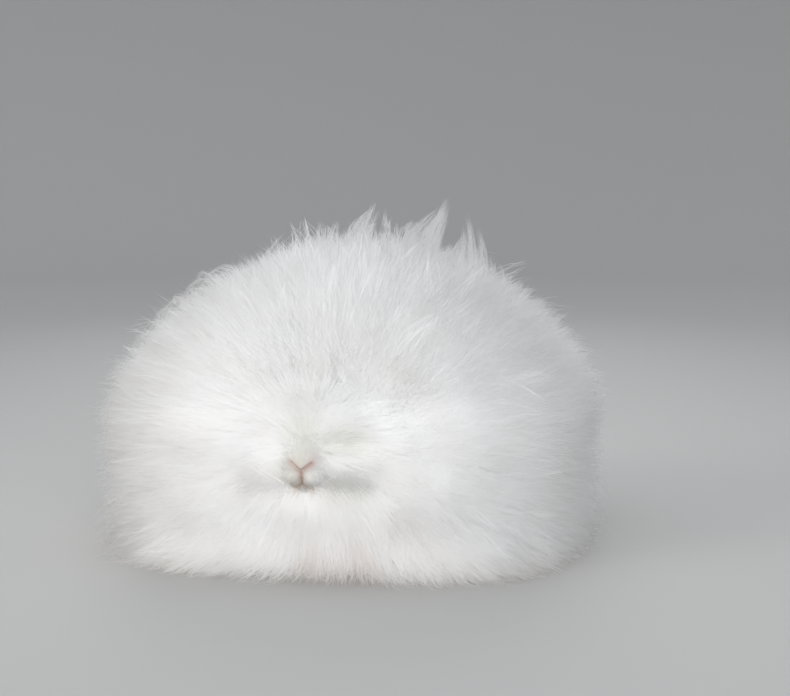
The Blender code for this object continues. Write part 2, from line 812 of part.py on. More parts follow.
def ear_plans(side, chance):
    """The tassel at an ear's tip and the fringe down its edges."""
    root, along, opening, across = ear_ways(side)
    groups = (
        (0.86, 0.0, 1.45, 0.00, 1.3),
        (0.80, 25.0, 1.36, 0.40, 1.1),
        (0.80, -25.0, 1.36, -0.40, 1.1),
        (0.60, 42.0, 1.02, 0.95, 1.0),
        (0.60, -42.0, 1.02, -0.95, 1.0),
    )
    plans = []
    for low, turn, high, spread, size in groups:
        jitter = [random_offset(chance, 0.003) for _ in range(LOCK_TRIES)]

        def path_of(attempt, low=low, turn=turn, high=high, spread=spread, jitter=jitter):
            shift = jitter[attempt] * (1 + attempt / 2)
            start, outward = ear_point(side, low, math.radians(turn))
            second, _ = ear_point(side, low + 0.12, math.radians(turn))
            end = root + along * EAR_LENGTH * high + across * EAR_WIDTH * spread
            end += shift - opening * EAR_WIDTH * 0.35
            middle = start + (second - start) * 2.4 + outward * 0.006 + shift * 0.5
            points = bezier_path(start, middle, end)
            return points, [outward] * len(points)

        plans.append((path_of, EAR_LOCK_WIDTH * size, FLOOR_CLEAR))
    return plans


def ear_ways(side):
    """An ear's root, the way it stands, the way its cup opens, and the way across it."""
    root = HEAD_FRAME @ Vector((side * EAR_ROOT.x, EAR_ROOT.y, EAR_ROOT.z))
    along = Vector((side * EAR_DIRECTION.x, EAR_DIRECTION.y, EAR_DIRECTION.z))
    opening = Vector((side * 0.5, -0.8, 0.3))
    opening = (opening - along * opening.dot(along)).normalized()
    return root, along, opening, along.cross(opening)


def ear_section(share):
    """The radius of an ear's curved wall at a share of its length, and half the turn it makes."""
    for low, high in zip(EAR_STATIONS, EAR_STATIONS[1:]):
        if share <= high[0]:
            break
    blend = (share - low[0]) / (high[0] - low[0])
    spread = low[1] + (high[1] - low[1]) * blend
    half_turn = math.radians(low[2] + (high[2] - low[2]) * blend)
    return max(EAR_WIDTH * spread / math.sin(min(half_turn, math.pi / 2)), EAR_WALL * 0.53), half_turn


def ear_point(side, share, turn, rise=0.0):
    """A point of an ear's wall at a turn round its cup, and the outward way there."""
    root, along, opening, across = ear_ways(side)
    radius, _ = ear_section(share)
    spoke = across * math.sin(turn) - opening * math.cos(turn)
    middle = root + along * (EAR_LENGTH * share) + opening * radius * 0.6
    return middle + spoke * max(radius + rise, 0.0002), spoke


def ear(name, side, material):
    """One ear as a curved leaf with a cupped inside, from its root in the skull to its tip."""
    arc_steps = 6
    rings = []
    for share, _, _ in EAR_STATIONS:
        _, half_turn = ear_section(share)
        arc = [half_turn * (2 * i / arc_steps - 1) for i in range(arc_steps + 1)]
        ring = [ear_point(side, share, turn, EAR_WALL / 2)[0] for turn in arc]
        ring += [ear_point(side, share, turn, -EAR_WALL / 2)[0] for turn in reversed(arc)]
        rings.append(ring)
    return mesh_object(name, *skin_rings(rings), material)


def ear_room(side):
    """The clear space round an ear, which the wool behind the head leaves open."""
    root, along, opening, across = ear_ways(side)
    rings = []
    for share, spread in ((-0.14, 0.36), (0.22, 0.46), (0.42, 0.61), (0.65, 0.61), (1.06, 0.24)):
        half = EAR_WIDTH * spread
        middle = root + along * (EAR_LENGTH * share) + opening * EAR_ROOM
        ring = []
        for k in range(8):
            turn = 2 * math.pi * (k + 0.5) / 8
            ring.append(middle + (across * math.cos(turn) + opening * math.sin(turn)) * half * 1.08)
        rings.append(ring)
    return mesh_object("ear_room", *skin_rings(rings))


def main():
    for old in list(bpy.data.objects):
        bpy.data.objects.remove(old)
    wool = finish_material("white_wool", (0.86, 0.86, 0.84), 0.9)
    iris = finish_material("ruby_eye", (0.45, 0.05, 0.07), 0.08)

    neck_cell = cone_cell("neck_cell", FACE_AXIS, NECK_TURN, NECK_NEAR)
    neck_room = cone_cell("neck_room", FACE_AXIS, NECK_TURN + GAP / NECK_NEAR, NECK_NEAR - GAP)
    tail_cell = cone_cell("tail_cell", TAIL_AXIS, TAIL_TURN, TAIL_NEAR)
    tail_room = cone_cell("tail_room", TAIL_AXIS, TAIL_TURN + GAP / TAIL_NEAR, TAIL_NEAR - GAP)

    legs = []
    for side, word in ((1, "left"), (-1, "right")):
        splits = toe_splits(side * PAW_X, PAW_TIP_Y, 4, 0.0062)
        legs.append(leg(f"foreleg_{word}", foreleg_parts(side, 0.0), splits, wool))
        splits = toe_splits(side * FOOT_X, FOOT_TIP_Y, 4, 0.0080)
        legs.append(leg(f"hind_leg_{word}", hind_leg_parts(side, 0.0), splits, wool))

    ears = []
    ear_rooms = []
    for side, word in ((1, "left"), (-1, "right")):
        thing = ear(f"ear_{word}", side, wool)
        combine(thing, [skull("skull_room", grow=GAP)], "DIFFERENCE")
        keep_largest(thing)
        ears.append(thing)
        ear_rooms.append(ear_room(side))

    head = skull("head", material=wool)
    eyes = []
    lids = []
    eye_cutters = []
    for side, word in ((1, "left"), (-1, "right")):
        place = Vector((side * EYE_PLACE.x, EYE_PLACE.y, EYE_PLACE.z))
        round_eye = Vector((1, 1, 1)) * EYE_RADIUS
        eyes.append(ball(f"eye_{word}", place, round_eye, HEAD_FRAME, 2, iris))
        lid, cutters = eye_forms(side)
        lids.append(lid)
        eye_cutters += cutters
    combine(head, lip_forms() + lids, "UNION")
    combine(head, mouth_cutters() + eye_cutters, "DIFFERENCE")
    keep_largest(head)

    neck = coat_core("neck", wool)
    combine(neck, [copy_of(neck_cell)], "INTERSECT")
    rooms = [skull("skull_room", grow=GAP)] + [copy_of(room) for room in ear_rooms]
    for side in (1, -1):
        rooms += foreleg_parts(side, GAP)
    combine(neck, rooms, "DIFFERENCE")
    keep_largest(neck)

    tail = coat_core("tail", wool)
    combine(tail, [copy_of(tail_cell)], "INTERSECT")
    keep_largest(tail)

    torso = coat_core("torso", wool)
    rooms = [copy_of(neck_room), copy_of(tail_room), floor_cutter()]
    rooms += [copy_of(room) for room in ear_rooms]
    for side in (1, -1):
        rooms += foreleg_parts(side, GAP) + hind_leg_parts(side, GAP)
    combine(torso, rooms, "DIFFERENCE")
    keep_largest(torso)

    for helper in (neck_cell, neck_room, tail_cell, tail_room, *ear_rooms):
        bpy.data.objects.remove(helper)

    bodies = [head, neck, tail, torso, *legs, *ears, *eyes]
    chance = random.Random(19)
    plans = {
        head: head_plans(chance),
        ears[0]: ear_plans(1, chance),
        ears[1]: ear_plans(-1, chance),
        neck: coat_plans("neck", chance),
        tail: coat_plans("tail", chance),
        torso: coat_plans("torso", chance),
    }
    for node, node_plans in plans.items():
        others = [tree_of(body) for body in bodies if body is not node]
        locks = grow_locks(node, node_plans, others, tree_of(node))
        combine(node, locks, "UNION")
        keep_largest(node)


main()
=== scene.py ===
"""The looks of the angora rabbit: one skin, its eyes and claws, and a coat of fine solid tufts.

Metres, +Z up, the rabbit faces -Y and its own left is +X.
"""
import json
import math

import bmesh
import bpy
import numpy as np
from mathutils import Matrix, Vector, kdtree

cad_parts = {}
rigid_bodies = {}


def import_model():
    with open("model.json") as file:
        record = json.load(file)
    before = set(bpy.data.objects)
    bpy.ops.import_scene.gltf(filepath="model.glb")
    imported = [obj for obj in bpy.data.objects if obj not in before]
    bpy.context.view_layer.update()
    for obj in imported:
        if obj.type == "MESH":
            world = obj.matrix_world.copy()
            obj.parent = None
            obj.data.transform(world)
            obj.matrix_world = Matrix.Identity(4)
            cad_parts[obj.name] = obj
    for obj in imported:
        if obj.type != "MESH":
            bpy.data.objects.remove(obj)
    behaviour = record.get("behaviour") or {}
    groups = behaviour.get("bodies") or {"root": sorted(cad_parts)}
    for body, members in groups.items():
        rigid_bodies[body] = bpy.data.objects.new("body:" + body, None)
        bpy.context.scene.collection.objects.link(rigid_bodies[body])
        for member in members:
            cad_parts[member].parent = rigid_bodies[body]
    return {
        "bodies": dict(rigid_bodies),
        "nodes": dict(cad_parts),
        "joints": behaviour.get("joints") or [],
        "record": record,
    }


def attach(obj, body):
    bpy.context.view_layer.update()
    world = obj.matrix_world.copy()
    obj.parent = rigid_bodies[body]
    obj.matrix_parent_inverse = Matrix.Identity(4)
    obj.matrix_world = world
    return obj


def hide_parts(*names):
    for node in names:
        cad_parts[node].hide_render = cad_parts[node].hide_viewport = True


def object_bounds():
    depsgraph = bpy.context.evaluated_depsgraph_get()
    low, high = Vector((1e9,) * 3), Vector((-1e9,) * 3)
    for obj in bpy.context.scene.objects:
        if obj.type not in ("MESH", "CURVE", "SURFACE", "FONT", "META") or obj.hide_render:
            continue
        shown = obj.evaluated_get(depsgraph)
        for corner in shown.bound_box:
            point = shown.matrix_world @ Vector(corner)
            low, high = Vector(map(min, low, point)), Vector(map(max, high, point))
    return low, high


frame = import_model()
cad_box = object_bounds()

# The coat's outline, the same as in the CAD source.
COAT_CENTRE = np.array((0.0, 0.0, 0.08))
COAT_HALF_WIDTH = 0.272
COAT_HALF_LENGTH = 0.264
COAT_HEIGHT = 0.338
COAT_MIDDLE_Y = 0.02
WAIST_HEIGHT = 0.138
TOP_LEAN = 0.018
SKIRT_TUCK = 0.04
COAT_SQUARE = 3.0
COAT_ROUND = 1.75

# The flesh under it.
FLESH_CENTRE = np.array((0.0, 0.015, 0.095))
FLESH_HALF = np.array((0.08, 0.125, 0.092))
HEAD_CENTRE = Vector((-0.001, -0.199, 0.131))
HEAD_LENGTH = 0.107
HEAD_TURN = math.radians(5)
HEAD_TILT = math.radians(12)
HEAD_FRAME = (Matrix.Translation(HEAD_CENTRE) @ Matrix.Rotation(HEAD_TURN, 4, "Z")
              @ Matrix.Rotation(HEAD_TILT, 4, "X"))
NOSE_Y = -HEAD_LENGTH / 2
FACE_AXIS = np.array((HEAD_CENTRE - Vector(COAT_CENTRE)).normalized())
# The skull's stations: share of its length from the nose, and half width, rise and drop in millimetres.
SKULL = np.array((
    (0, 9.5, 8.5, 12.5), (0.03, 15, 13, 19), (0.1, 19.5, 18, 24), (0.22, 22.5, 23, 25.5), (0.38, 26, 29, 26.5),
    (0.52, 30, 33, 28.5), (0.68, 33.5, 34.5, 30), (0.84, 31, 31, 27), (0.95, 22, 23, 19), (1, 10, 11, 9)))

# The room for the coat: the CAD box with a margin, down to the floor.
FLOOR_CLEAR = 0.0012
ROOM_SHARE = 0.03
ROOM_MARGIN = 0.0085
box_low, box_high = (np.array(corner) for corner in cad_box)
ROOM = (box_high - box_low) * ROOM_SHARE + ROOM_MARGIN
ROOM_LOW, ROOM_HIGH = box_low - ROOM, box_high + ROOM
rng = np.random.default_rng(7)
scene = bpy.context.scene


def between(span, count):
    """Seeded numbers between the two of span."""
    return span[0] + (span[1] - span[0]) * rng.random(count)


def unit(a):
    return a / np.maximum(np.linalg.norm(a, axis=-1, keepdims=True), 1e-9)


def turn_from(d, axis):
    """The angle between directions d and an axis."""
    return np.arccos(np.clip(d @ axis, -1, 1))


def square_to(way, d):
    """The part of a way that lies square to direction d."""
    return way - d * (way * d).sum(-1, keepdims=True)


def metres(values):
    """Millimetres as metres."""
    return [value / 1000 for value in values]


def mirrored(place, side):
    """A place or way of the left side (1), or its mirror image on the right (-1)."""
    return Vector((place[0] * side, place[1], place[2]))


def direction(azimuth, elevation):
    """A unit vector, from -Y towards +X by azimuth and up by elevation, both in degrees."""
    a, e = np.radians(azimuth), np.radians(elevation)
    return np.stack([np.sin(a) * np.cos(e), -np.cos(a) * np.cos(e), np.sin(e) + 0 * a], axis=-1)


def power_sum(a, b, power):
    return (np.abs(a) ** power + np.abs(b) ** power) ** (1 / power)


def coat_level(p):
    """Below 0 inside the coat's dome, above 0 outside it."""
    x, y, z = p[..., 0], p[..., 1], p[..., 2]
    rise = np.clip((z - WAIST_HEIGHT) / (COAT_HEIGHT - WAIST_HEIGHT), 0, None)
    fall = np.clip((WAIST_HEIGHT - z) / WAIST_HEIGHT, 0, None)
    back = (y - COAT_MIDDLE_Y - TOP_LEAN * rise) / COAT_HALF_LENGTH
    spread = power_sum(x / COAT_HALF_WIDTH, back, COAT_SQUARE)
    return np.where(rise > 0, power_sum(spread, rise, COAT_ROUND) - 1, spread - (1 - SKIRT_TUCK * fall * fall))


def coat_reach(d):
    """How far the dome reaches from its centre along d, by halving."""
    low = np.full(d.shape[:-1], 0.05)
    high = np.full(d.shape[:-1], 0.6)
    for _ in range(20):
        mid = (low + high) / 2
        inside = coat_level(COAT_CENTRE + d * mid[..., None]) < 0
        low = np.where(inside, mid, low)
        high = np.where(inside, high, mid)
    return low


def flesh_reach(d):
    """How far the body's ellipsoid reaches from the coat's centre along d."""
    start = (COAT_CENTRE - FLESH_CENTRE) / FLESH_HALF
    way = d / FLESH_HALF
    a = (way * way).sum(-1)
    b = (way * start).sum(-1)
    c = (start * start).sum() - 1
    return (-b + np.sqrt(np.maximum(b * b - a * c, 0))) / a


# Lumps and creases of the coat: azimuth, elevation, half width and half height in degrees, and lift as a
# share of the reach. The skirt spreads a little all round, at an elevation and over a half height.
SKIRT = (-18, 7, 0.035)
RELIEF = (
    (0.7, 7.8, 4, 5, -0.008), (2, 14.5, 17, 3, -0.02), (12.5, 14, 8, 2.6, -0.022), (12, 8, 8, 4.6, 0.026),
    (12.5, 2.2, 8.5, 2.2, -0.012), (-9.5, 7.5, 6.5, 5.5, 0.024), (-9, 1, 7, 1.8, -0.008),
    (2, -5.5, 17, 5.5, 0.016), (0, 24, 15, 7, 0.024), (-34, 18, 9, 8, 0.02), (36, 24, 10, 8, 0.02),
    (30, 0, 9, 7, 0.018), (-28, -4, 9, 6, 0.018), (0.7, 3, 3.2, 2.4, -0.016), (150, 24, 22, 9, 0.012),
    (-150, 20, 20, 8, 0.012), (168, 10, 16, 5, -0.014), (-125, 7, 18, 5, -0.012), (120, 5, 18, 5, -0.012),
    (-95, 18, 16, 8, 0.01), (95, 20, 16, 8, 0.01), (-170, -2, 9, 6, 0.01), (140, -3, 14, 6, 0.008),
    (-140, -3, 12, 6, 0.008),
)

# Reach of the lean away from the face, where it fades opposite the face, and the fall elsewhere.
LEAN_REACH = math.radians(55)
REAR_CALM = math.radians(40)
FALL = np.array((0, 0.15, -0.9))


def relief(d):
    """The lift of the coat's surface at direction d."""
    azimuth = np.degrees(np.arctan2(d[..., 0], -d[..., 1]))
    elevation = np.degrees(np.arcsin(np.clip(d[..., 2], -1, 1)))
    total = SKIRT[2] * np.exp(-((elevation - SKIRT[0]) / SKIRT[1]) ** 2)
    for a, e, wide, high, lift in RELIEF:
        across = (azimuth - a) * np.cos(np.radians(e)) / wide
        total += lift * np.exp(-across ** 4 - ((elevation - e) / high) ** 2)
    return total


def lie(d):
    """The way that the coat leans at direction d: away from the face near it, and down elsewhere."""
    side = np.cross(d, FACE_AXIS)
    away = unit(-np.cross(side, d))
    near = np.exp(-(turn_from(d, FACE_AXIS) / LEAN_REACH) ** 2)[..., None]
    behind = np.exp(-(turn_from(-d, FACE_AXIS) / REAR_CALM) ** 2)[..., None]
    way = away * (0.35 + 0.65 * near) * (1 - behind) + FALL * (1 - 0.85 * near)
    return unit(square_to(way, d))


GOLDEN_TURN = math.pi * (3 - math.sqrt(5))


def jitter(d, degrees):
    return unit(d + rng.normal(size=d.shape) * math.radians(degrees))


def spread_out(count, lowest, slip):
    """Evenly spread directions down to an elevation in degrees, each moved at random by slip degrees."""
    k = np.arange(count) + 0.5
    z = 1 - k * (1 - math.sin(math.radians(lowest))) / count
    a = k * GOLDEN_TURN
    r = np.sqrt(np.maximum(1 - z * z, 0))
    return jitter(np.stack([r * np.cos(a), r * np.sin(a), z], axis=-1), slip)


def nearest(points, centres):
    """For each point, the number of the centre nearest to it."""
    tree = kdtree.KDTree(len(centres))
    for i, c in enumerate(centres):
        tree.insert(c, i)
    tree.balance()
    return np.array([tree.find(p)[1] for p in points])


# The tufts, by the name of the group that makes one piece or a few.
coat = {}


def add_tufts(name, points, half, profile, flat, soft, uv):
    """points (n, k, 3), half widths (n), ring shares (k), soft normals (n, 3) and root places (n, 2)."""
    points = np.clip(points, ROOM_LOW, ROOM_HIGH)
    profile = np.asarray(profile, float)
    points[..., 2] = np.maximum(points[..., 2], FLOOR_CLEAR + half[:, None] * profile[None, :])
    coat.setdefault(name, []).append((points, half, profile, flat, soft, uv))


# A tuft's place in the map, and how much of its normal comes from the coat's surface.
PATCH_WIDTH = 0.0012
PATCH_HEIGHT = 0.003
SOFTNESS = 0.92


def tuft_arrays(points, half, profile, flat, soft, uv, base):
    """Vertices, faces, normals and map places of closed, pointed, three-sided tufts."""
    n, k, _ = points.shape
    longer = np.concatenate([points[:, :1], points, points[:, -1:]], axis=1)
    along = unit(longer[:, 2:] - longer[:, :-2])
    side = unit(np.cross(along, soft[:, None, :] + 1e-4))
    over = np.cross(along, side)
    rings = k - 1
    size = rings * 3 + 1
    verts, normals = np.empty((2, n, size, 3), dtype=np.float32)
    wide = half[:, None] * profile[None, :]
    for j, angle in enumerate((90, 210, 330)):
        c, s = math.cos(math.radians(angle)), math.sin(math.radians(angle))
        ring = points + side * (wide * c)[..., None] + over * (wide * s * flat)[..., None]
        verts[:, j:rings * 3:3] = ring[:, :rings]
        normals[:, j:rings * 3:3] = (side * c + over * s)[:, :rings]
    verts[:, -1] = points[:, -1]
    normals[:, -1] = over[:, -1]
    verts[..., 2] = np.maximum(verts[..., 2], FLOOR_CLEAR * 0.5)
    normals = unit(normals * (1 - SOFTNESS) + soft[:, None, :] * SOFTNESS)
    tris = [(0, 2, 1)]
    step = np.zeros((size, 2))
    for r in range(rings):
        for j in range(3):
            a, b = r * 3 + j, r * 3 + (j + 1) % 3
            tris += [(a, b, b + 3), (a, b + 3, a + 3)] if r < rings - 1 else [(a, b, size - 1)]
            step[a] = ((j - 1) * PATCH_WIDTH, (r / rings - 0.5) * PATCH_HEIGHT)
    step[-1] = (0, 0.5 * PATCH_HEIGHT)
    tris = np.array(tris, dtype=np.int32)
    faces = (tris[None] + (np.arange(n, dtype=np.int32) * size)[:, None, None]).reshape(-1) + base
    corner = (uv[:, None, :] + step[None]).reshape(-1, 2)
    return verts.reshape(-1, 3), faces, normals.reshape(-1, 3), corner


PAINTED_FACE = ("coat_muzzle", "coat_face", "coat_fine_face", "coat_down_face")
PIECE_TRIANGLES = 185000
MAP_EDGE = 0.01
MAP_WIDTH = 0.98


def add_object(data):
    """A new object of the scene, with the name of its mesh, lamp or camera."""
    obj = bpy.data.objects.new(data.name, data)
    scene.collection.objects.link(obj)
    return obj


def mesh_from(bm, name):
    mesh = bpy.data.meshes.new(name)
    bm.to_mesh(mesh)
    bm.free()
    return mesh


def surfaced(mesh, material):
    """Shades a mesh smooth and gives it its material."""
    mesh.polygons.foreach_set("use_smooth", [True] * len(mesh.polygons))
    mesh.materials.append(material)


def tuft_piece(name, sets, material):
    """One piece from several lots of tufts, with its marks and the map OFBake."""
    base = 0
    lots = []
    for one in sets:
        lots.append(tuft_arrays(*one, base))
        base += len(lots[-1][0])
    verts, faces, normals, corner = (np.concatenate([lot[i] for lot in lots]) for i in range(4))
    mesh = bpy.data.meshes.new(name)
    mesh.vertices.add(len(verts))
    mesh.vertices.foreach_set("co", verts.reshape(-1))
    mesh.loops.add(len(faces))
    mesh.loops.foreach_set("vertex_index", faces)
    count = len(faces) // 3
    mesh.polygons.add(count)
    mesh.polygons.foreach_set("loop_start", np.arange(0, len(faces), 3, dtype=np.int32))
    mesh.polygons.foreach_set("loop_total", np.full(count, 3, dtype=np.int32))
    mesh.update(calc_edges=True)
    surfaced(mesh, material)
    layer = mesh.uv_layers.new(name="OFBake")
    layer.data.foreach_set("uv", corner[faces].astype(np.float32).reshape(-1))
    paint_marks(mesh, verts, face=name.startswith(PAINTED_FACE))
    mesh.normals_split_custom_set_from_vertices(normals)
    obj = add_object(mesh)
    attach(obj, "root")
    return obj


def triangles_of(one):
    """How many triangles a lot of tufts makes."""
    rings = one[0].shape[1] - 1
    return len(one[0]) * (6 * (rings - 1) + 4)


def dress(material):
    """The groups of tufts as pieces of fewer than 200,000 triangles each."""
    made = []
    for group, sets in coat.items():
        total = sum(triangles_of(one) for one in sets)
        parts = int(math.ceil(total / PIECE_TRIANGLES))
        for i in range(parts):
            mine = []
            for points, half, profile, flat, soft, uv in sets:
                order = np.argsort(uv[:, 0], kind="stable")
                chunk = np.array_split(order, parts)[i]
                if len(chunk):
                    mine.append([points[chunk], half[chunk], profile, flat, soft[chunk], uv[chunk]])
            low = min(place[:, 0].min() for *_, place in mine)
            high = max(place[:, 0].max() for *_, place in mine)
            for *_, place in mine:
                place[:, 0] = MAP_EDGE + MAP_WIDTH * (place[:, 0] - low) / max(high - low, 1e-6)
                place[:, 1] = MAP_EDGE + MAP_WIDTH * place[:, 1]
            made.append(tuft_piece(f"{group}_{i + 1}" if parts > 1 else group, mine, material))
    return made


# Colour marks, the same on skin and coat: tint, place and reach in millimetres, and strength. The pink marks and
# most tan marks are tints of the coat; the two tan marks at the floor are painted contact shadow, and every shade
# mark is painted shade: in the creases round the cheek lobe and muzzle, left of the nose, over the muzzle and above
# it.
PINK, TAN_AND_PAINTED_SHADOW, PAINTED_SHADE = 0, 1, 2
# Tints of the three channels: pink; tan, also used for the painted contact shadow; and the olive grey of the painted
# shade.
TINTS = {"Red": (0.52, 0.22, 0.24, 1), "Green": (0.5, 0.4, 0.32, 1), "Blue": (0.6, 0.61, 0.5, 1)}
MARKS = (
    (PINK, (12, -246, 132), 11, 0.16), (TAN_AND_PAINTED_SHADOW, (-7, -247, 104), 9, 0.45), (TAN_AND_PAINTED_SHADOW, (6, -247, 103), 6, 0.2),
    # Painted shade in the creases above and below the cheek lobe.
    (PAINTED_SHADE, (80, -243, 147), 13, 0.34), (PAINTED_SHADE, (55, -246, 144), 13, 0.16), (PAINTED_SHADE, (75, -243, 92), 13, 0.34),
    (PINK, (35, -246, 86), 14, 0.13), (TAN_AND_PAINTED_SHADOW, (35, -246, 86), 14, 0.1), (PAINTED_SHADE, (-15, -246, 117), 12, 0.2),
    (TAN_AND_PAINTED_SHADOW, (-60, -240, 95), 22, 0.07), (TAN_AND_PAINTED_SHADOW, (119, -231, 50), 35, 0.07), (PINK, (119, -231, 50), 35, 0.04),
    # The two tan marks at the floor in front are painted contact shadow.
    (TAN_AND_PAINTED_SHADOW, (8, -240, 10), 22, 0.34), (TAN_AND_PAINTED_SHADOW, (67, -238, 12), 22, 0.34), (PINK, (50, -240, 18), 30, 0.08),
    # Painted shade over the muzzle and above the nose, and in the creases beside the cheek lobe.
    (PAINTED_SHADE, (1, -250, 124), 17, 0.46), (PINK, (1, -250, 122), 14, 0.05), (PAINTED_SHADE, (4, -246, 155), 20, 0.48),
    (PAINTED_SHADE, (4, -244, 190), 30, 0.28), (PAINTED_SHADE, (48, -247, 148), 20, 0.6), (PAINTED_SHADE, (48, -247, 92), 22, 0.5),
)
# Tan along the lower edge, strongest at the floor: how high it reaches, and its strength.
EDGE_DEPTH = 0.012
EDGE_STRENGTH = 0.14
# Nostrils and split lip, and the mouth: lines in the face's own x and z, and tones of a strength and width.
# The shade along the nose lines is painted shade inside their cut slits.
NOSE_LINES = (((-0.01, 0.0066), (0, -0.001)), ((0.0098, 0.0054), (0, -0.001)), ((0, -0.001), (0, -0.01)))
MOUTH_LINES = (((0, -0.0172), (-0.01, -0.0242)), ((0, -0.0172), (0.0112, -0.025)), ((0, -0.01), (0, -0.0172)))
NOSE_PINK = ((1.05, 0.0022), (0.26, 0.0055))
NOSE_PAINTED_SHADE = ((0.25, 0.0008),)
MOUTH_TAN = ((0.8, 0.0016), (0.35, 0.005))
LINES_DEPTH = 0.018


def head_world(p, frame=HEAD_FRAME):
    there = np.array(frame)
    return p @ there[:3, :3].T + there[:3, 3]


def head_local(p):
    return head_world(p, HEAD_FRAME.inverted())


def line_distance(local, lines):
    """Distance in the face's own x and z to the nearest of some lines, far away behind the muzzle."""
    flat = local[..., [0, 2]]
    nearest_line = np.full(flat.shape[:-1], 1.0)
    for start, end in lines:
        a, b = np.array(start), np.array(end)
        t = np.clip(((flat - a) @ (b - a)) / ((b - a) @ (b - a)), 0, 1)
        nearest_line = np.minimum(nearest_line, np.linalg.norm(flat - (a + t[..., None] * (b - a)), axis=-1))
    return np.where(local[..., 1] < NOSE_Y + LINES_DEPTH, nearest_line, 1.0)


def tone(away, tones):
    return sum(strength * np.exp(-(away / width) ** 2) for strength, width in tones)


def paint_marks(mesh, verts, face=False):
    """Writes each vertex's pink, its tan with the painted contact shadow at the floor, and its painted shade."""
    colour = np.zeros((len(verts), 4), dtype=np.float32)
    colour[:, 3] = 1
    for channel, place, reach, strength in MARKS:
        away = np.linalg.norm(verts - np.array(place) / 1000, axis=1)
        colour[:, channel] += tone(away, ((strength, reach / 1000),))
    colour[:, TAN_AND_PAINTED_SHADOW] += EDGE_STRENGTH * np.exp(-(verts[:, 2] / EDGE_DEPTH) ** 2)
    if face:
        local = head_local(verts.astype(float))
        nose = line_distance(local, NOSE_LINES)
        uneven = 0.8 + 0.2 * np.sin(verts[:, 0] * 1900) * np.sin(verts[:, 2] * 1500)
        colour[:, PINK] += uneven * tone(nose, NOSE_PINK)
        # Painted shade inside the slits of the nose lines.
        colour[:, PAINTED_SHADE] += tone(nose, NOSE_PAINTED_SHADE)
        colour[:, TAN_AND_PAINTED_SHADOW] += tone(line_distance(local, MOUTH_LINES), MOUTH_TAN)
    layer = mesh.color_attributes.new("marks", "FLOAT_COLOR", "POINT")
    layer.data.foreach_set("color", np.clip(colour, 0, 1).reshape(-1))


# Materials. The Mix node's sockets for two colours and for its result.
MIX_LOW, MIX_HIGH, MIX_RESULT = 6, 7, 2


def set_inputs(node, **values):
    """Sets a node's inputs; a name's underscores stand for spaces."""
    for name, value in values.items():
        node.inputs[name.replace("_", " ")].default_value = value


def material_of(name, paint=None, **values):
    """A material with some of its shader's values set, and its colour made by paint."""
    material = bpy.data.materials.new(name)
    material.use_nodes = True
    tree = material.node_tree
    bsdf = tree.nodes["Principled BSDF"]
    if paint:
        tree.links.new(paint(tree), bsdf.inputs["Base Color"])
    set_inputs(bsdf, **values)
    return material


def linked(tree, kind, links=(), **values):
    """A node with some values set, and its inputs linked from (input, socket) pairs."""
    node = tree.nodes.new("ShaderNode" + kind)
    for key, value in values.items():
        if key in ("scale", "detail", "strength", "distance"):
            node.inputs[key.capitalize()].default_value = value
        else:
            setattr(node, key, value)
    for name, socket in links:
        tree.links.new(socket, node.inputs[name])
    return node


def noise_at(tree, scale):
    """The outputs of a noise in the object's own space."""
    place = linked(tree, "TexCoord")
    return linked(tree, "TexNoise", [("Vector", place.outputs["Object"])], scale=scale, detail=3).outputs


def ramp_of(tree, socket, *stops):
    """A colour ramp over a socket, from (position, colour) stops."""
    ramp = linked(tree, "ValToRGB", [("Fac", socket)])
    elements = ramp.color_ramp.elements
    for i, (position, colour) in enumerate(stops):
        element = elements[i] if i < 2 else elements.new(position)
        element.position = position
        element.color = (*colour, 1)
    return ramp.outputs["Color"]


def mixed(tree, share, low, high, **values):
    """The colour between low and high by share, where high is a colour or a socket."""
    mix = linked(tree, "Mix", data_type="RGBA", **values)
    for index, value in ((0, share), (MIX_LOW, low), (MIX_HIGH, high)):
        if isinstance(value, bpy.types.NodeSocket):
            tree.links.new(value, mix.inputs[index])
        else:
            mix.inputs[index].default_value = value
    return mix.outputs[MIX_RESULT]


def marked_colour(tree, low, high, scale):
    """White that varies softly, with the pink and tan of the marks over it, and their painted contact shadow and
    painted shade.
    """
    colour = ramp_of(tree, noise_at(tree, scale)["Fac"], (0.32, low), (0.66, high))
    marks = linked(tree, "VertexColor", layer_name="marks")
    split = linked(tree, "SeparateColor", [("Color", marks.outputs["Color"])])
    for output, tint in TINTS.items():
        colour = mixed(tree, split.outputs[output], colour, tint)
    return colour


def wool_colour(tree):
    return marked_colour(tree, (0.935, 0.925, 0.91), (0.97, 0.967, 0.962), 22)


def skin_colour(tree):
    bump = linked(tree, "Bump", [("Height", noise_at(tree, 900)["Fac"])], strength=0.35, distance=0.0005)
    tree.links.new(bump.outputs["Normal"], tree.nodes["Principled BSDF"].inputs["Normal"])
    return marked_colour(tree, (0.83, 0.77, 0.74), (0.91, 0.88, 0.86), 60)


def eye_colour(tree):
    """A ruby iris round a dark pupil, by the attribute turn."""
    place = linked(tree, "Attribute", attribute_name="turn")
    rings = ramp_of(tree, place.outputs["Fac"], (0.14, (0.06, 0.004, 0.006)), (0.17, (0.42, 0.035, 0.045)),
                    (0.34, (0.5, 0.08, 0.09)), (0.4, (0.8, 0.62, 0.6)))
    return mixed(tree, 0.5, rings, noise_at(tree, 1400)["Color"], blend_type="MULTIPLY")


def horn_colour(tree):
    return ramp_of(tree, noise_at(tree, 700)["Fac"], (0, (0.62, 0.5, 0.42)), (1, (0.82, 0.74, 0.66)))


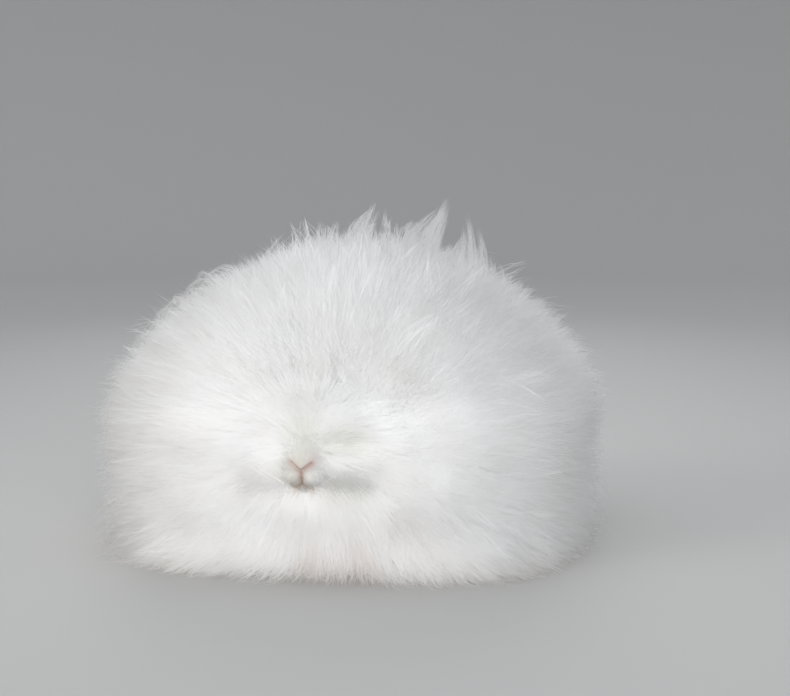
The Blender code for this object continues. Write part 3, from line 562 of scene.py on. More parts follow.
wool = material_of("white_wool_coat", wool_colour,
                   Roughness=0.9, Specular_IOR_Level=0.15, Sheen_Weight=0.1, Sheen_Roughness=0.6)
hide = material_of("white_skin", skin_colour, Roughness=0.7)
ruby = material_of("ruby_eye_glass", eye_colour, Roughness=0.08, Coat_Weight=1.0, Coat_Roughness=0.03)
horn = material_of("claw_horn", horn_colour, Roughness=0.35)


# The skin: body, neck, skull, ears, legs and tail made into one surface.
def add_loft(bm, rings):
    """One closed form from rings of points."""
    made = [[bm.verts.new(point) for point in ring] for ring in rings]
    sides = len(made[0])
    for low, high in zip(made, made[1:]):
        for i in range(sides):
            j = (i + 1) % sides
            bm.faces.new((low[i], low[j], high[j], high[i]))
    bm.faces.new(list(reversed(made[0])))
    bm.faces.new(made[-1])


def add_ball(bm, centre, half, frame=Matrix.Identity(4)):
    """A ball of three half sizes, in a frame where one is given."""
    made = bmesh.ops.create_icosphere(bm, subdivisions=3, radius=1)["verts"]
    for vert in made:
        vert.co = frame @ (Vector(centre) + Vector([vert.co[i] * half[i] for i in range(3)]))


def limb_rings(stations, side, sides=16):
    """Rings round a path of (place, half width, rise, drop)."""
    places = [mirrored(metres(place), side) for place, *_ in stations]
    rings = []
    for i, (_, *sizes) in enumerate(stations):
        half, rise, drop = metres(sizes)
        way = (places[min(i + 1, len(places) - 1)] - places[max(i - 1, 0)]).normalized()
        across = way.cross(Vector((0, 0, 1))).normalized()
        up = across.cross(way)
        ring = []
        for k in range(sides):
            turn = 2 * math.pi * k / sides
            high = math.sin(turn) * (rise if math.sin(turn) > 0 else drop)
            ring.append(places[i] + across * (math.cos(turn) * half) + up * high)
        rings.append(ring)
    return rings


# Stations of the limbs in millimetres: place, half width, rise and drop.
ARM = (
    ((46, -20, 85), 20, 26, 26), ((48, -45, 62), 19, 24, 24), ((46, -70, 40), 16, 18, 18),
    ((41, -95, 24), 13, 13, 13), ((37, -120, 16), 12, 11, 11))
PAW = (
    ((36, -105, 12), 10, 10, 10), ((36, -120, 12), 12.5, 11, 10.5), ((36, -142, 11), 14, 11, 9.5),
    ((36, -158, 9), 13, 9, 7.8), ((36, -166, 7), 8, 5, 5))
THIGH = (
    ((52, 118, 70), 12, 22, 22), ((60, 100, 68), 26, 42, 40), ((64, 65, 66), 32, 52, 46),
    ((66, 30, 58), 29, 44, 40), ((66, 4, 50), 20, 26, 26), ((66, -10, 46), 10, 12, 12))
SHANK = (
    ((72, 20, 36), 12, 12, 12), ((72, 60, 30), 14, 14, 14), ((72, 95, 20), 12, 12, 12),
    ((72, 112, 13), 10, 10, 10))
FOOT = (
    ((72, 118, 10), 9, 9, 8.5), ((72, 100, 11), 13, 12, 9.5), ((72, 50, 11), 15, 12, 9.5),
    ((72, 0, 11), 17.5, 12, 9.5), ((72, -22, 9), 16.5, 10, 7.8), ((72, -32, 7), 10, 6, 5))
NECK = (
    ((0, -50, 118), 60, 50, 55), ((0, -100, 124), 48, 42, 46), ((0, -145, 132), 38, 36, 36),
    ((0, -175, 136), 30, 30, 28))
RUMP = (
    ((0, 110, 90), 40, 40, 40), ((0, 140, 88), 22, 20, 20), ((0, 165, 86), 14, 13, 13), ((0, 185, 84), 7, 7, 7))
# An ear's stations: share of its length, share of its width, and half the turn of its cup in degrees.
EAR_LENGTH = 0.1
EAR_WIDTH = 0.042
EAR_WALL = 0.0028
EAR_ROOT = (0.016, 0.03, 0.024)
EAR_DIRECTION = Vector((0.38, 0.52, 0.76)).normalized()
EAR_OPENING = (0.55, -0.8, 0.0)
EAR_STATIONS = ((-0.12, 0.2, 150), (0.06, 0.24, 130), (0.22, 0.36, 100), (0.42, 0.5, 75),
                (0.62, 0.5, 65), (0.8, 0.38, 60), (0.93, 0.22, 60), (1.0, 0.08, 60))
EYE_RADIUS = 0.0088
EYE_PLACE = (0.0245, -0.004, 0.013)
EYE_LOOK = Vector((0.93, -0.33, 0.16)).normalized()
LID_RADIUS = 0.0108
# Balls of the face in millimetres: place from the tip of the nose, and half sizes.
LIP_PAD = ((7.5, 8, -8), (9, 10, 9.5))
NOSE_BALL = ((0, 3, 2), (7.5, 5.5, 5.5))
LOWER_LIP = ((0, 15, -21.5), (8.5, 9.5, 5.2))
SKULL_RINGS = 24
SKULL_SIDES = 28
SKIN_VOXEL = 0.0021
# Where the skin is made finer, and how its lines are cut and its lids opened.
FINE_MUZZLE = 0.03
FINE_EYE = 0.016
CUT_MUZZLE = 0.02
NOSE_CUT = 0.0016
MOUTH_CUT = 0.0018
CUT_WIDTH = 0.0009
LID_REACH = 0.015
LID_TURN = math.radians(58)
LID_EDGE = 46
LID_EDGE_SOFT = 2.0
LID_OPEN = 0.0034
LID_RIM = 0.0004
SKIN_LOWEST = 0.0009


def ear_ways(side):
    """An ear's root, the way it runs, the way its cup opens and the way across it."""
    root = HEAD_FRAME @ mirrored(EAR_ROOT, side)
    along = mirrored(EAR_DIRECTION, side)
    opening = mirrored(EAR_OPENING, side)
    opening = (opening - along * opening.dot(along)).normalized()
    return root, along, opening, along.cross(opening).normalized()


def ear_rings(side, steps=10):
    root, along, opening, across = ear_ways(side)
    rings = []
    for share, spread, turn in EAR_STATIONS:
        half_turn = math.radians(turn)
        radius = max(EAR_WIDTH * spread / math.sin(min(half_turn, math.pi / 2)), EAR_WALL * 0.53)
        middle = root + along * (EAR_LENGTH * share) + opening * radius * 0.6
        ring = []
        for sign, rise in ((1, EAR_WALL / 2), (-1, -EAR_WALL / 2)):
            for i in range(steps + 1):
                angle = sign * half_turn * (2 * i / steps - 1)
                spoke = across * math.sin(angle) - opening * math.cos(angle)
                ring.append(middle + spoke * max(radius + rise, 0.0002))
        rings.append(ring)
    return rings


def skull_size(share):
    return [np.interp(share, SKULL[:, 0], SKULL[:, i] / 1000) for i in (1, 2, 3)]


def skull_point(share, turn):
    """A point of the skull in world space, by share from the nose and turn round it (0 is the top)."""
    half, rise, drop = skull_size(share)
    up = np.cos(turn)
    local = np.stack([half * np.sin(turn), NOSE_Y + HEAD_LENGTH * share, up * np.where(up > 0, rise, drop)], -1)
    return head_world(local)


def add_face_ball(bm, ball, side=1):
    (x, y, z), half = map(metres, ball)
    add_ball(bm, (x * side, NOSE_Y + y, z), half, HEAD_FRAME)


def rough_skin():
    """All forms of the flesh in one mesh, joined by a remesh and eased."""
    bm = bmesh.new()
    add_ball(bm, FLESH_CENTRE, FLESH_HALF)
    add_loft(bm, limb_rings(NECK, 1, 20))
    add_loft(bm, limb_rings(RUMP, 1))
    for side in (1, -1):
        for stations in (ARM, PAW, THIGH, SHANK, FOOT):
            add_loft(bm, limb_rings(stations, side))
        add_loft(bm, ear_rings(side))
        add_face_ball(bm, LIP_PAD, side)
        add_ball(bm, mirrored(EYE_PLACE, side), [LID_RADIUS] * 3, HEAD_FRAME)
    turns = [-2 * math.pi * k / SKULL_SIDES for k in range(SKULL_SIDES)]
    add_loft(bm, [[skull_point(share, turn) for turn in turns] for share in np.linspace(0, 1, SKULL_RINGS)])
    add_face_ball(bm, NOSE_BALL)
    add_face_ball(bm, LOWER_LIP)
    bmesh.ops.recalc_face_normals(bm, faces=bm.faces)
    rough = add_object(mesh_from(bm, "skin_rough"))
    remesh = rough.modifiers.new("one", "REMESH")
    remesh.mode = "VOXEL"
    remesh.voxel_size = SKIN_VOXEL
    smooth = rough.modifiers.new("ease", "SMOOTH")
    smooth.factor = 0.5
    smooth.iterations = 4
    bpy.context.view_layer.update()
    mesh = bpy.data.meshes.new_from_object(rough.evaluated_get(bpy.context.evaluated_depsgraph_get()))
    bpy.data.objects.remove(rough)
    return mesh


def is_fine(local):
    """Whether the skin is finer at a place in the head's own space."""
    return local.y < NOSE_Y + FINE_MUZZLE or any(
        (local - mirrored(EYE_PLACE, side)).length < FINE_EYE for side in (1, -1))


def carve(vert, back):
    """Cuts the lines of nose and mouth, and opens the lids, at one vertex of the skin."""
    local = back @ vert.co
    if local.y < NOSE_Y + CUT_MUZZLE:
        spot = np.array(local)
        nose = float(line_distance(spot, NOSE_LINES))
        mouth = float(line_distance(spot, MOUTH_LINES))
        depth = NOSE_CUT * math.exp(-(nose / CUT_WIDTH) ** 2) + MOUTH_CUT * math.exp(-(mouth / CUT_WIDTH) ** 2)
        vert.co -= vert.normal * depth
    for side in (1, -1):
        eye = mirrored(EYE_PLACE, side)
        look = mirrored(EYE_LOOK, side)
        offset = local - eye
        if offset.length < LID_REACH and offset.angle(look) < LID_TURN:
            turn = offset.angle(look)
            tall = 0.8 + 0.2 * abs(offset.normalized().dot(Vector((0, 1, 0))))
            open_share = 1 / (1 + math.exp((math.degrees(turn) / tall - LID_EDGE) / LID_EDGE_SOFT))
            vert.co = HEAD_FRAME @ (eye + offset.normalized() * (LID_RADIUS + LID_RIM - LID_OPEN * open_share))


def make_skin():
    mesh = rough_skin()
    bm = bmesh.new()
    bm.from_mesh(mesh)
    back = HEAD_FRAME.inverted()
    near = [e for e in bm.edges if is_fine(back @ e.verts[0].co)]
    bmesh.ops.subdivide_edges(bm, edges=near, cuts=2, use_grid_fill=True, smooth=0.6)
    bmesh.ops.triangulate(bm, faces=[f for f in bm.faces if len(f.verts) > 4])
    bm.normal_update()
    for vert in bm.verts:
        carve(vert, back)
        vert.co.z = max(vert.co.z, SKIN_LOWEST)
    bm.to_mesh(mesh)
    bm.free()
    mesh.name = "skin"
    surfaced(mesh, hide)
    places = np.empty(len(mesh.vertices) * 3, dtype=np.float32)
    mesh.vertices.foreach_get("co", places)
    paint_marks(mesh, places.reshape(-1, 3), face=True)
    obj = add_object(mesh)
    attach(obj, "root")
    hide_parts("head", "neck", "torso", "tail", "ear_left", "ear_right",
                "foreleg_left", "foreleg_right", "hind_leg_left", "hind_leg_right")
    return obj


skin = make_skin()


# Eyes, with a front that bulges a little.
FRONT_BULGE = 0.05
FRONT_WIDTH = 0.16


def make_eye(side, word):
    """An eyeball; its attribute turn is 0 at the middle of the iris and 1 at the back."""
    bm = bmesh.new()
    bmesh.ops.create_icosphere(bm, subdivisions=4, radius=1)
    look = (HEAD_FRAME.to_3x3() @ mirrored(EYE_LOOK, side)).normalized()
    centre = HEAD_FRAME @ mirrored(EYE_PLACE, side)
    turns = []
    for vert in bm.verts:
        turn = vert.co.angle(look) / math.pi
        bulge = 1 + FRONT_BULGE * math.exp(-(turn / FRONT_WIDTH) ** 2)
        turns.append(turn)
        vert.co = centre + vert.co * (EYE_RADIUS * bulge)
    mesh = mesh_from(bm, f"eyeball_{word}")
    layer = mesh.attributes.new("turn", "FLOAT", "POINT")
    layer.data.foreach_set("value", turns)
    surfaced(mesh, ruby)
    obj = add_object(mesh)
    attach(obj, "root")
    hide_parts(f"eye_{word}")


make_eye(1, "left")
make_eye(-1, "right")


# Claws: small hooked cones under the wool. A row of toes has a middle, a front and a spacing.
TOE_ROWS = ((0.036, -0.1615, 0.0062), (0.072, -0.0275, 0.008))
TOES = 4
CLAW_LENGTH = 0.0075
CLAW_RADIUS = 0.0011
CLAW_HEIGHT = 0.0058
CLAW_DROOP = 0.003
CLAW_RINGS = 6
CLAW_SIDES = 10


def make_claws():
    bm = bmesh.new()
    for side in (1, -1):
        for middle, front, gap in TOE_ROWS:
            for i in range(TOES):
                x = side * middle + gap * (i - (TOES - 1) / 2)
                rings = []
                for t in np.linspace(0, 1, CLAW_RINGS):
                    centre = Vector((x, front - CLAW_LENGTH * t, CLAW_HEIGHT - CLAW_DROOP * t * t))
                    radius = CLAW_RADIUS * (1 - 0.94 * t ** 1.4)
                    rings.append([centre + Vector((math.cos(a) * radius, 0, math.sin(a) * radius * 1.2))
                                  for a in np.linspace(0, 2 * math.pi, CLAW_SIDES, endpoint=False)])
                add_loft(bm, rings)
    bmesh.ops.recalc_face_normals(bm, faces=bm.faces)
    mesh = mesh_from(bm, "claws")
    surfaced(mesh, horn)
    obj = add_object(mesh)
    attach(obj, "root")


make_claws()


# The coat. OPEN_AXIS runs through the muzzle. In degrees from it: half width and half height of the opening
# round the muzzle, how far the head's own wool reaches, and the share of the reach at which the down starts.
OPEN_AXIS = direction(0.7, 7.5)
FACE_OPEN = (3.3, 4.9)
FACE_WOOL = 27
FACE_ROOM = ((4.6, 9, 14, 20, 24), (0.93, 0.86, 0.74, 0.62, 0.0))
# In degrees from FACE_AXIS: where the body's wool starts, over how many it thickens, and where locks start.
BODY_START = 11.5
BODY_FADE = 9
LOCKS_START = 30
# How deep the wool is rooted in the skin, and the share of the way out at which the finest hairs start.
ROOT_DEPTH = 0.003
DOWN_ROOT = 0.6
SLOPE_STEP = math.radians(1.2)
MAP_DROP = 0.42
MAP_RISE = 1.42


def surface(d):
    return coat_reach(d) * (1 + relief(d))


def slope(d, way, here):
    """How the coat's surface rises at d along a way square to it, as a share of its reach there."""
    ahead, behind = surface(unit(d + way * SLOPE_STEP)), surface(unit(d - way * SLOPE_STEP))
    return ((ahead - behind) / (2 * SLOPE_STEP * here))[:, None]


def soft_normal(d):
    """The outward way of the coat's surface at direction d, with its lumps."""
    east = unit(np.cross(np.array((0, 0, 1.0)), d) + 1e-6)
    north = np.cross(d, east)
    here = surface(d)
    return unit(d - east * slope(d, east, here) - north * slope(d, north, here))


def map_place(d):
    azimuth = np.arctan2(d[:, 0], -d[:, 1]) / (2 * math.pi) + 0.5
    return np.stack([azimuth, np.clip((d[:, 2] + MAP_DROP) / MAP_RISE, 0, 1)], -1)


def swing(d, way, angle):
    """Directions d turned by an angle towards a way."""
    return unit(d * np.cos(angle)[:, None] + way * np.sin(angle)[:, None])


def fan(d, tip, t, power):
    """Ways that turn from d to tip along each tuft, slowly at first."""
    heading = (t ** power)[None, :, None]
    return unit(d[:, None, :] * (1 - heading) + tip[:, None, :] * heading)


def curve(start, bend, end, t):
    """Points on curves from start to end, drawn towards bend."""
    return start[:, None] * (1 - t) ** 2 + bend[:, None] * 2 * t * (1 - t) + end[:, None] * t ** 2


def body_coat(name, count, lowest, root, width, length, bend, clumps, pull, ts, profile, flat, ragged, ease):
    """Tufts over the dome, nowhere on the skull and thicker with each degree behind it.

    They start at root, a share of the way from skin to tip, reach length, a share of the coat's reach, lean by
    bend in degrees and draw together in clumps by pull. ragged lifts each clump.
    """
    d = spread_out(count, lowest, 0.8)
    theta = np.degrees(turn_from(d, FACE_AXIS))
    d = d[rng.random(len(d)) < (theta - BODY_START) / BODY_FADE]
    n = len(d)
    centres = spread_out(clumps, lowest, 2.0)
    own = nearest(d, centres)
    clump_lift = rng.normal(size=clumps)[own] * ragged
    clump_way = rng.normal(size=(clumps, 3))[own] * 0.3
    share = between(pull, n)[:, None]
    aim = unit(d * (1 - share) + centres[own] * share)
    angle = np.radians(between(bend, clumps)[own] + rng.normal(size=n) * 2.5)
    way = lie(aim) + clump_way + rng.normal(size=(n, 3)) * 0.12
    tip = swing(aim, unit(square_to(way, aim)), angle)
    far = surface(tip) * (between(length, n) * (1 + clump_lift))
    near = (flesh_reach(d) - ROOT_DEPTH) * (1 - root) + far * root
    t = np.asarray(ts)
    reach = near[:, None] + (far - near)[:, None] * (1 - (1 - t) ** ease)[None, :]
    points = COAT_CENTRE + fan(d, tip, t, 1.7) * reach[..., None]
    add_tufts(name, points, between(width, n), profile, flat, soft_normal(tip), map_place(d))


def down(name, count, lowest, width, length, lean):
    """Straight, very fine hairs from the dense inner wool to the surface, each with its own small lean."""
    d = spread_out(count, lowest, 0.4)
    theta = np.degrees(turn_from(d, OPEN_AXIS))
    chosen = theta > FACE_ROOM[0][0]
    d, theta = d[chosen], theta[chosen]
    tip = jitter(d, lean)
    far = surface(tip) * between(length, len(d))
    near = np.maximum(flesh_reach(d) * (1 - DOWN_ROOT) + far * DOWN_ROOT, far * np.interp(theta, *FACE_ROOM))
    ends = np.stack([COAT_CENTRE + d * near[:, None], COAT_CENTRE + tip * far[:, None]], axis=1)
    add_tufts(name, ends, between(width, len(d)), (1.0, 0), 1.0, soft_normal(tip), map_place(d))


# Along a lock: where its rings are and how wide they are. High on the dome the locks stand up and are longer.
LOCK_RINGS = np.array((0, 0.55, 0.8, 0.93, 1))
LOCK_PROFILE = (0.8, 1, 1, 0.75, 0)
LOCK_RISE = np.array((0.0, 0.0, 1.1))


def dome_locks(name, count, hairs, lowest, width, length, lean):
    """Longer locks whose hairs draw together to a point beyond the coat's surface."""
    middle = spread_out(count, lowest, 3.0)
    middle = middle[np.degrees(turn_from(middle, FACE_AXIS)) > LOCKS_START]
    high = np.clip((middle[:, 2] - 0.2) / 0.6, 0, 1)
    level = length[0] + (length[1] - length[0]) * rng.random(len(middle)) ** 1.6 * (0.35 + 0.65 * high)
    way = lie(middle) + LOCK_RISE * high[:, None] + rng.normal(size=middle.shape) * 0.55
    end = swing(middle, unit(square_to(way, middle)), np.radians(between(lean, len(middle))))
    lock = np.repeat(np.arange(len(middle)), hairs)
    d = jitter(middle[lock], 2.6)
    tip = jitter(end[lock], 0.35)
    far = surface(end)[lock] * level[lock] * (1 - 0.1 * rng.random(len(lock)) ** 1.5)
    near = flesh_reach(d) * (1 - DOWN_ROOT) + far * DOWN_ROOT
    reach = near[:, None] + (far - near)[:, None] * LOCK_RINGS[None, :]
    points = COAT_CENTRE + fan(d, tip, LOCK_RINGS, 2.2) * reach[..., None]
    add_tufts(name, points, between(width, len(lock)), LOCK_PROFILE, 0.9, soft_normal(tip), map_place(d))


# The head's wool: from this turn on it thins out towards FACE_WOOL, and its clumps reach a little further.
FACE_THIN = 14
FACE_CLUMPS = 2
FACE_UP = unit(np.array((0, 0, 1.0)) - OPEN_AXIS * OPEN_AXIS[2])
FACE_LEFT = np.cross(FACE_UP, OPEN_AXIS)


def cap_turn(reach, k, count=1):
    """Turns in degrees that spread k of count evenly over a cap."""
    return np.degrees(np.arccos(1 - (1 - math.cos(math.radians(reach))) * k / count))


def round_face(alpha, psi):
    """Directions by turn from OPEN_AXIS, in degrees, and by angle round it from the top."""
    a = np.radians(alpha)[:, None]
    return unit(OPEN_AXIS * np.cos(a)
                + (FACE_LEFT * np.sin(psi)[:, None] + FACE_UP * np.cos(psi)[:, None]) * np.sin(a))


def face_coat(name, count, width, length, clumps, pull, ts, profile, flat, ragged):
    """Wool of the head, from the skull's sides out and forward to the coat's surface round the face."""
    k = np.arange(count) + 0.5
    alpha = cap_turn(FACE_WOOL, k, count)
    psi = (k * GOLDEN_TURN) % (2 * math.pi) + rng.normal(size=count) * 0.05
    kept = alpha > np.hypot(FACE_OPEN[0] * np.sin(psi), FACE_OPEN[1] * np.cos(psi))
    kept &= rng.random(count) < 1 - 0.75 * (alpha - FACE_THIN) / (FACE_WOOL - FACE_THIN)
    alpha, psi = alpha[kept], psi[kept]
    n = len(alpha)
    alpha = alpha + rng.normal(size=n) * 0.8
    rng.integers(0, clumps, n)  # not used, and kept for the order of draws
    tip = round_face(alpha, psi)
    centre_turn = cap_turn(FACE_WOOL + FACE_CLUMPS, rng.random(clumps))
    centres = round_face(centre_turn, rng.random(clumps) * 2 * math.pi)
    own = nearest(tip, centres)
    share = between(pull, n)[:, None]
    tip = unit(tip * (1 - share) + centres[own] * share + rng.normal(size=(n, 3)) * 0.008)
    theta = np.degrees(turn_from(tip, OPEN_AXIS))
    level = between(length, n) * (1 + rng.normal(size=clumps)[own] * ragged)
    far = COAT_CENTRE + tip * (surface(tip) * level)[:, None]
    s = np.clip(0.06 + (theta - 3.6) * 0.024 + rng.normal(size=n) * 0.02, 0.05, 0.9)
    root = skull_point(s, psi)
    normal = unit(root - head_world(np.stack([0 * s, NOSE_Y + HEAD_LENGTH * s, 0 * s], -1)))
    root = root - normal * 0.002
    span = np.linalg.norm(far - root, axis=1, keepdims=True)
    middle = root + normal * span * 0.5 + FACE_AXIS * span * 0.05
    points = curve(root, middle, far, np.asarray(ts)[None, :, None])
    half = between(width, n) * np.clip(s / 0.35, 0.3, 1)
    place = np.stack([(psi / (2 * math.pi)) % 1.0, s], -1)
    add_tufts(name, points, half, profile, flat, soft_normal(tip), place)


def skin_places(chosen, count):
    """Seeded places on the chosen faces of the skin, and their outward ways."""
    polygons = skin.data.polygons
    centre, normal, area = (np.empty(len(polygons) * size) for size in (3, 3, 1))
    for key, values in (("center", centre), ("normal", normal), ("area", area)):
        polygons.foreach_get(key, values)
    centre, normal = centre.reshape(-1, 3), normal.reshape(-1, 3)
    share = np.where(chosen(centre), area, 0)
    pick = rng.choice(len(area), count, p=share / share.sum())
    slip = rng.normal(size=(count, 3)) * np.sqrt(area[pick])[:, None] * 0.4
    return centre[pick] + square_to(slip, normal[pick]), normal[pick]


def skin_fur(name, places, flow, length, width, lift=0.6, lit=0.0):
    """Short fur at places on the skin that leans along flow, lit as if turned towards the face's front by lit."""
    root, normal = places
    lean = unit(unit(square_to(flow, normal)) + rng.normal(size=root.shape) * 0.2)
    length = (length * (0.75 + 0.5 * rng.random(len(root))))[:, None]
    middle = root + (normal * lift + lean * 0.5) * length * 0.5
    tip = root + (normal * lift * 0.7 + lean * 0.95) * length * 0.92
    points = np.stack([root - normal * 0.0008, middle, tip], axis=1)
    add_tufts(name, points, between(width, len(root)), (1, 0.8, 0), 0.7,
              unit(normal + FACE_AXIS * lit), map_place(unit(root - COAT_CENTRE)))


def on_muzzle(p):
    return head_local(p)[:, 1] < NOSE_Y + 0.032


def on_ears(p):
    near = np.zeros(len(p), dtype=bool)
    for side in (1, -1):
        root, along = map(np.array, ear_ways(side)[:2])
        share = (p - root) @ along / EAR_LENGTH
        off = np.linalg.norm(p - root - share[:, None] * along * EAR_LENGTH, axis=1)
        near |= (share > 0.15) & (off < 0.03)
    return near


def on_feet(p):
    x, y, z = np.abs(p[:, 0]), p[:, 1], p[:, 2]
    paw = (y < -0.11) & (np.abs(x - 0.036) < 0.016)
    foot = (y < 0.11) & (y > -0.035) & (np.abs(x - 0.072) < 0.02)
    return (paw | foot) & (z < 0.024) & (z > 0.003)


MUZZLE_HAIRS = 9000
EAR_HAIRS = 2200
FOOT_HAIRS = 2600
WHISKERS = 11
WHISKER_HALF = 0.00013


def short_fur():
    """Fine short fur on muzzle, ears and feet, and the whiskers."""
    root, normal = skin_places(on_muzzle, MUZZLE_HAIRS)
    local = head_local(root)
    nose, mouth = line_distance(local, NOSE_LINES), line_distance(local, MOUTH_LINES)
    clear = (nose > 0.0017 + 0.0012 * rng.random(len(nose))) & (mouth > 0.0016)
    root, normal, mouth = root[clear], normal[clear], mouth[clear]
    from_nose = root - head_world(np.array((0, NOSE_Y, 0.001)))
    back = head_world(np.array((0, 1.0, 0))) - head_world(np.zeros(3))
    length = (0.002 + 0.26 * np.linalg.norm(from_nose, axis=1)) * np.clip(0.45 + mouth / 0.01, 0, 1)
    flow = unit(from_nose) + back * 0.6
    skin_fur("coat_muzzle", (root, normal), flow, length, (0.00013, 0.00024), lit=0.1)
    places = skin_places(on_ears, EAR_HAIRS)
    side = np.where(places[0][:, :1] > 0, 1.0, -1.0)
    flow = unit(np.array(EAR_DIRECTION) * np.hstack([side, side * side, side * side]))
    skin_fur("coat_ears", places, flow, 0.009, (0.0002, 0.00034), 0.4)
    places = skin_places(on_feet, FOOT_HAIRS)
    skin_fur("coat_feet", places, np.array((0, -1.0, -0.15)), 0.0045, (0.00016, 0.00028), 0.4)
    k = np.arange(WHISKERS)
    t = np.array((0, 0.35, 0.7, 1.0))[None, :, None]
    for side in (1, -1):
        root = head_world(np.stack([side * (0.0125 + 0.0012 * (k % 3)), NOSE_Y + 0.008 + 0.003 * (k % 4),
                                    -0.003 - 0.0032 * (k // 3)], -1))
        way = np.stack([side * (1.0 + 0 * k), -0.42 + 0.06 * (k % 4), 0.22 - 0.16 * (k // 3)], -1)
        way = unit(way + rng.normal(size=(WHISKERS, 3)) * 0.05)
        length = (0.038 + 0.016 * rng.random(WHISKERS))[:, None]
        sag = np.array((0, 0.25, -0.3)) * length
        points = root[:, None] + (way * length)[:, None] * t + sag[:, None] * t ** 2
        add_tufts("whiskers", points, np.full(WHISKERS, WHISKER_HALF), (1, 0.8, 0.5, 0), 1.0,
                  way * 0.2 + FACE_AXIS, map_place(unit(root - COAT_CENTRE)))


# Longer wisps at the outline, in millimetres: y where they leave the coat and y of their tips, then for each x
# and z of both, how many hairs, and their spread at base and tip.
WISPS = (
    (30, 20, (
        ((-46, 322), (-49, 348), 34, 4, 1.2), ((-44, 322), (-40, 359), 22, 4, 1.2),
        ((-30, 327), (-23, 356), 34, 5, 1.6), ((-12, 330), (6, 358), 44, 7, 3), ((0, 331), (20, 377), 70, 6, 1.6),
        ((12, 332), (29, 371), 50, 7, 2.5), ((30, 331), (36, 362), 50, 8, 3.5), ((46, 329), (60, 352), 40, 8, 3.5))),
    (35, 20, (
        ((78, 320), (107.5, 383.8), 90, 5, 0.8), ((75, 320), (104, 379), 90, 6, 1.6),
        ((70, 322), (98, 370), 80, 8, 2), ((62, 322), (89, 361), 70, 9, 2.5), ((80, 316), (103, 360), 80, 6, 2.5),
        ((52, 324), (76, 354), 50, 8, 3))),
    (30, 20, (
        ((94, 306), (108, 333), 40, 6, 3), ((104, 302), (121, 336), 50, 7, 3), ((112, 298), (123, 343), 40, 6, 3),
        ((129, 292), (123, 364), 80, 5, 1), ((131, 292), (128, 354), 60, 5.5, 2),
        ((128, 292), (133, 345), 60, 7, 3), ((138, 287), (140, 336), 90, 8, 3))),
    (20, 10, (
        ((158, 275), (159, 309), 50, 7, 2.5), ((170, 270), (194, 290), 50, 7, 3),
        ((188, 257), (217, 268), 50, 7, 3), ((210, 238), (236, 247), 50, 7, 3))),
    (5, 0, (
        ((-150, 294), (-180, 282), 36, 6, 2.5), ((-174, 282), (-204, 262), 45, 6, 2.5),
        ((-197, 264), (-226, 239), 45, 6, 2.5), ((-219, 240), (-245, 213), 45, 6, 2.5),
        ((-239, 211), (-262, 186), 36, 6, 2.5))),
    (10, 0, (
        ((-262, 172), (-288, 169), 30, 9, 4), ((-268, 140), (-293, 141), 30, 9, 4),
        ((-268, 112), (-293, 110), 30, 9, 4), ((-266, 80), (-288, 73), 30, 9, 4))),
)
# Wisps are lit more as hairs of their own. Their strands lie at different depths along the sight.
WISP_SOFTNESS = 0.28
WISP_DEPTH = 0.03
SIGHT = np.array((-0.2, 0.98, 0.0))
WISP_HALF = (0.00014, 0.00028)
WISP_BASE = 0.6
WISP_RINGS = np.array((0, 0.25, 0.42, 0.57, 0.72, 0.87, 1))[None, :, None]
WISP_PROFILE = (0.8, 1, 1, 1, 1, 0.8, 0)
STRAND_HAIRS = 9


def add_wisp(base, end, count, spread, gather):
    """A pointed wisp of fine hairs in strands, from the inner wool through base to tips at and below end."""
    base, end = np.array(base), np.array(end)
    strands = max(4, count // STRAND_HAIRS)
    own = np.sort(rng.integers(0, strands, count))
    shift = rng.normal(size=(strands, 3))[own]
    drop = (np.arange(strands) / strands)[own, None] ** 1.3 * 0.8
    ways = unit(unit(base - COAT_CENTRE) + shift * 0.05 + rng.normal(size=(count, 3)) * 0.02)
    root = COAT_CENTRE + ways * (flesh_reach(ways) * 0.5 + surface(ways) * 0.5)[:, None]
    through = base + shift * spread * 1.1 + rng.normal(size=(count, 3)) * spread * 0.38
    depth = rng.normal(size=(strands, 1))[own] * WISP_DEPTH * SIGHT
    through += depth
    tip = end + depth + shift * (gather + 0.5 * spread * drop) + rng.normal(size=(count, 3)) * 0.0015
    tip -= (end - base) * (drop + 0.1 * rng.random((count, 1)))
    bend = (through - (1 - WISP_BASE) ** 2 * root - WISP_BASE ** 2 * tip) / (2 * WISP_BASE * (1 - WISP_BASE))
    points = curve(root, bend, tip, WISP_RINGS)
    soft = unit(points[:, -1] - COAT_CENTRE) * WISP_SOFTNESS
    add_tufts("coat_wisps", points, between(WISP_HALF, count), WISP_PROFILE, 0.9, soft, map_place(ways))


FINE = (0.7, 0.9, 0.8, 0)
FACE_RINGS = (0, 0.35, 0.7, 1)
SHADOWED = ("coat_under", "coat_face")
body_coat("coat_under", 6300, -20, 0.0, (0.0026, 0.0044), (0.76, 0.89), (2, 7), 900, (0.0, 0.3),
          (0, 0.5, 0.85, 1), (0.5, 1, 0.7, 0), 0.4, 0.006, 1.15)
body_coat("coat_main", 14500, -20, 0.25, (0.0005, 0.00085), (0.86, 0.965), (2, 8), 1500, (0.1, 0.4),
          (0, 0.6, 1), (0.8, 1, 0), 0.6, 0.008, 1.03)
body_coat("coat_main", 35000, -20, 0.45, (0.00026, 0.00042), (0.91, 1.01), (2, 9), 2600, (0.1, 0.5),
          (0, 0.55, 1), (0.8, 1, 0), 0.9, 0.01, 1.0)
down("coat_down", 94000, -20, (0.0006, 0.001), (0.92, 1.035), 3.0)
body_coat("coat_long", 4000, -18, 0.55, (0.00016, 0.00026), (0.99, 1.07), (2, 14), 900, (0.3, 0.8),
          (0, 0.5, 0.8, 1), FINE, 0.9, 0.016, 1.0)
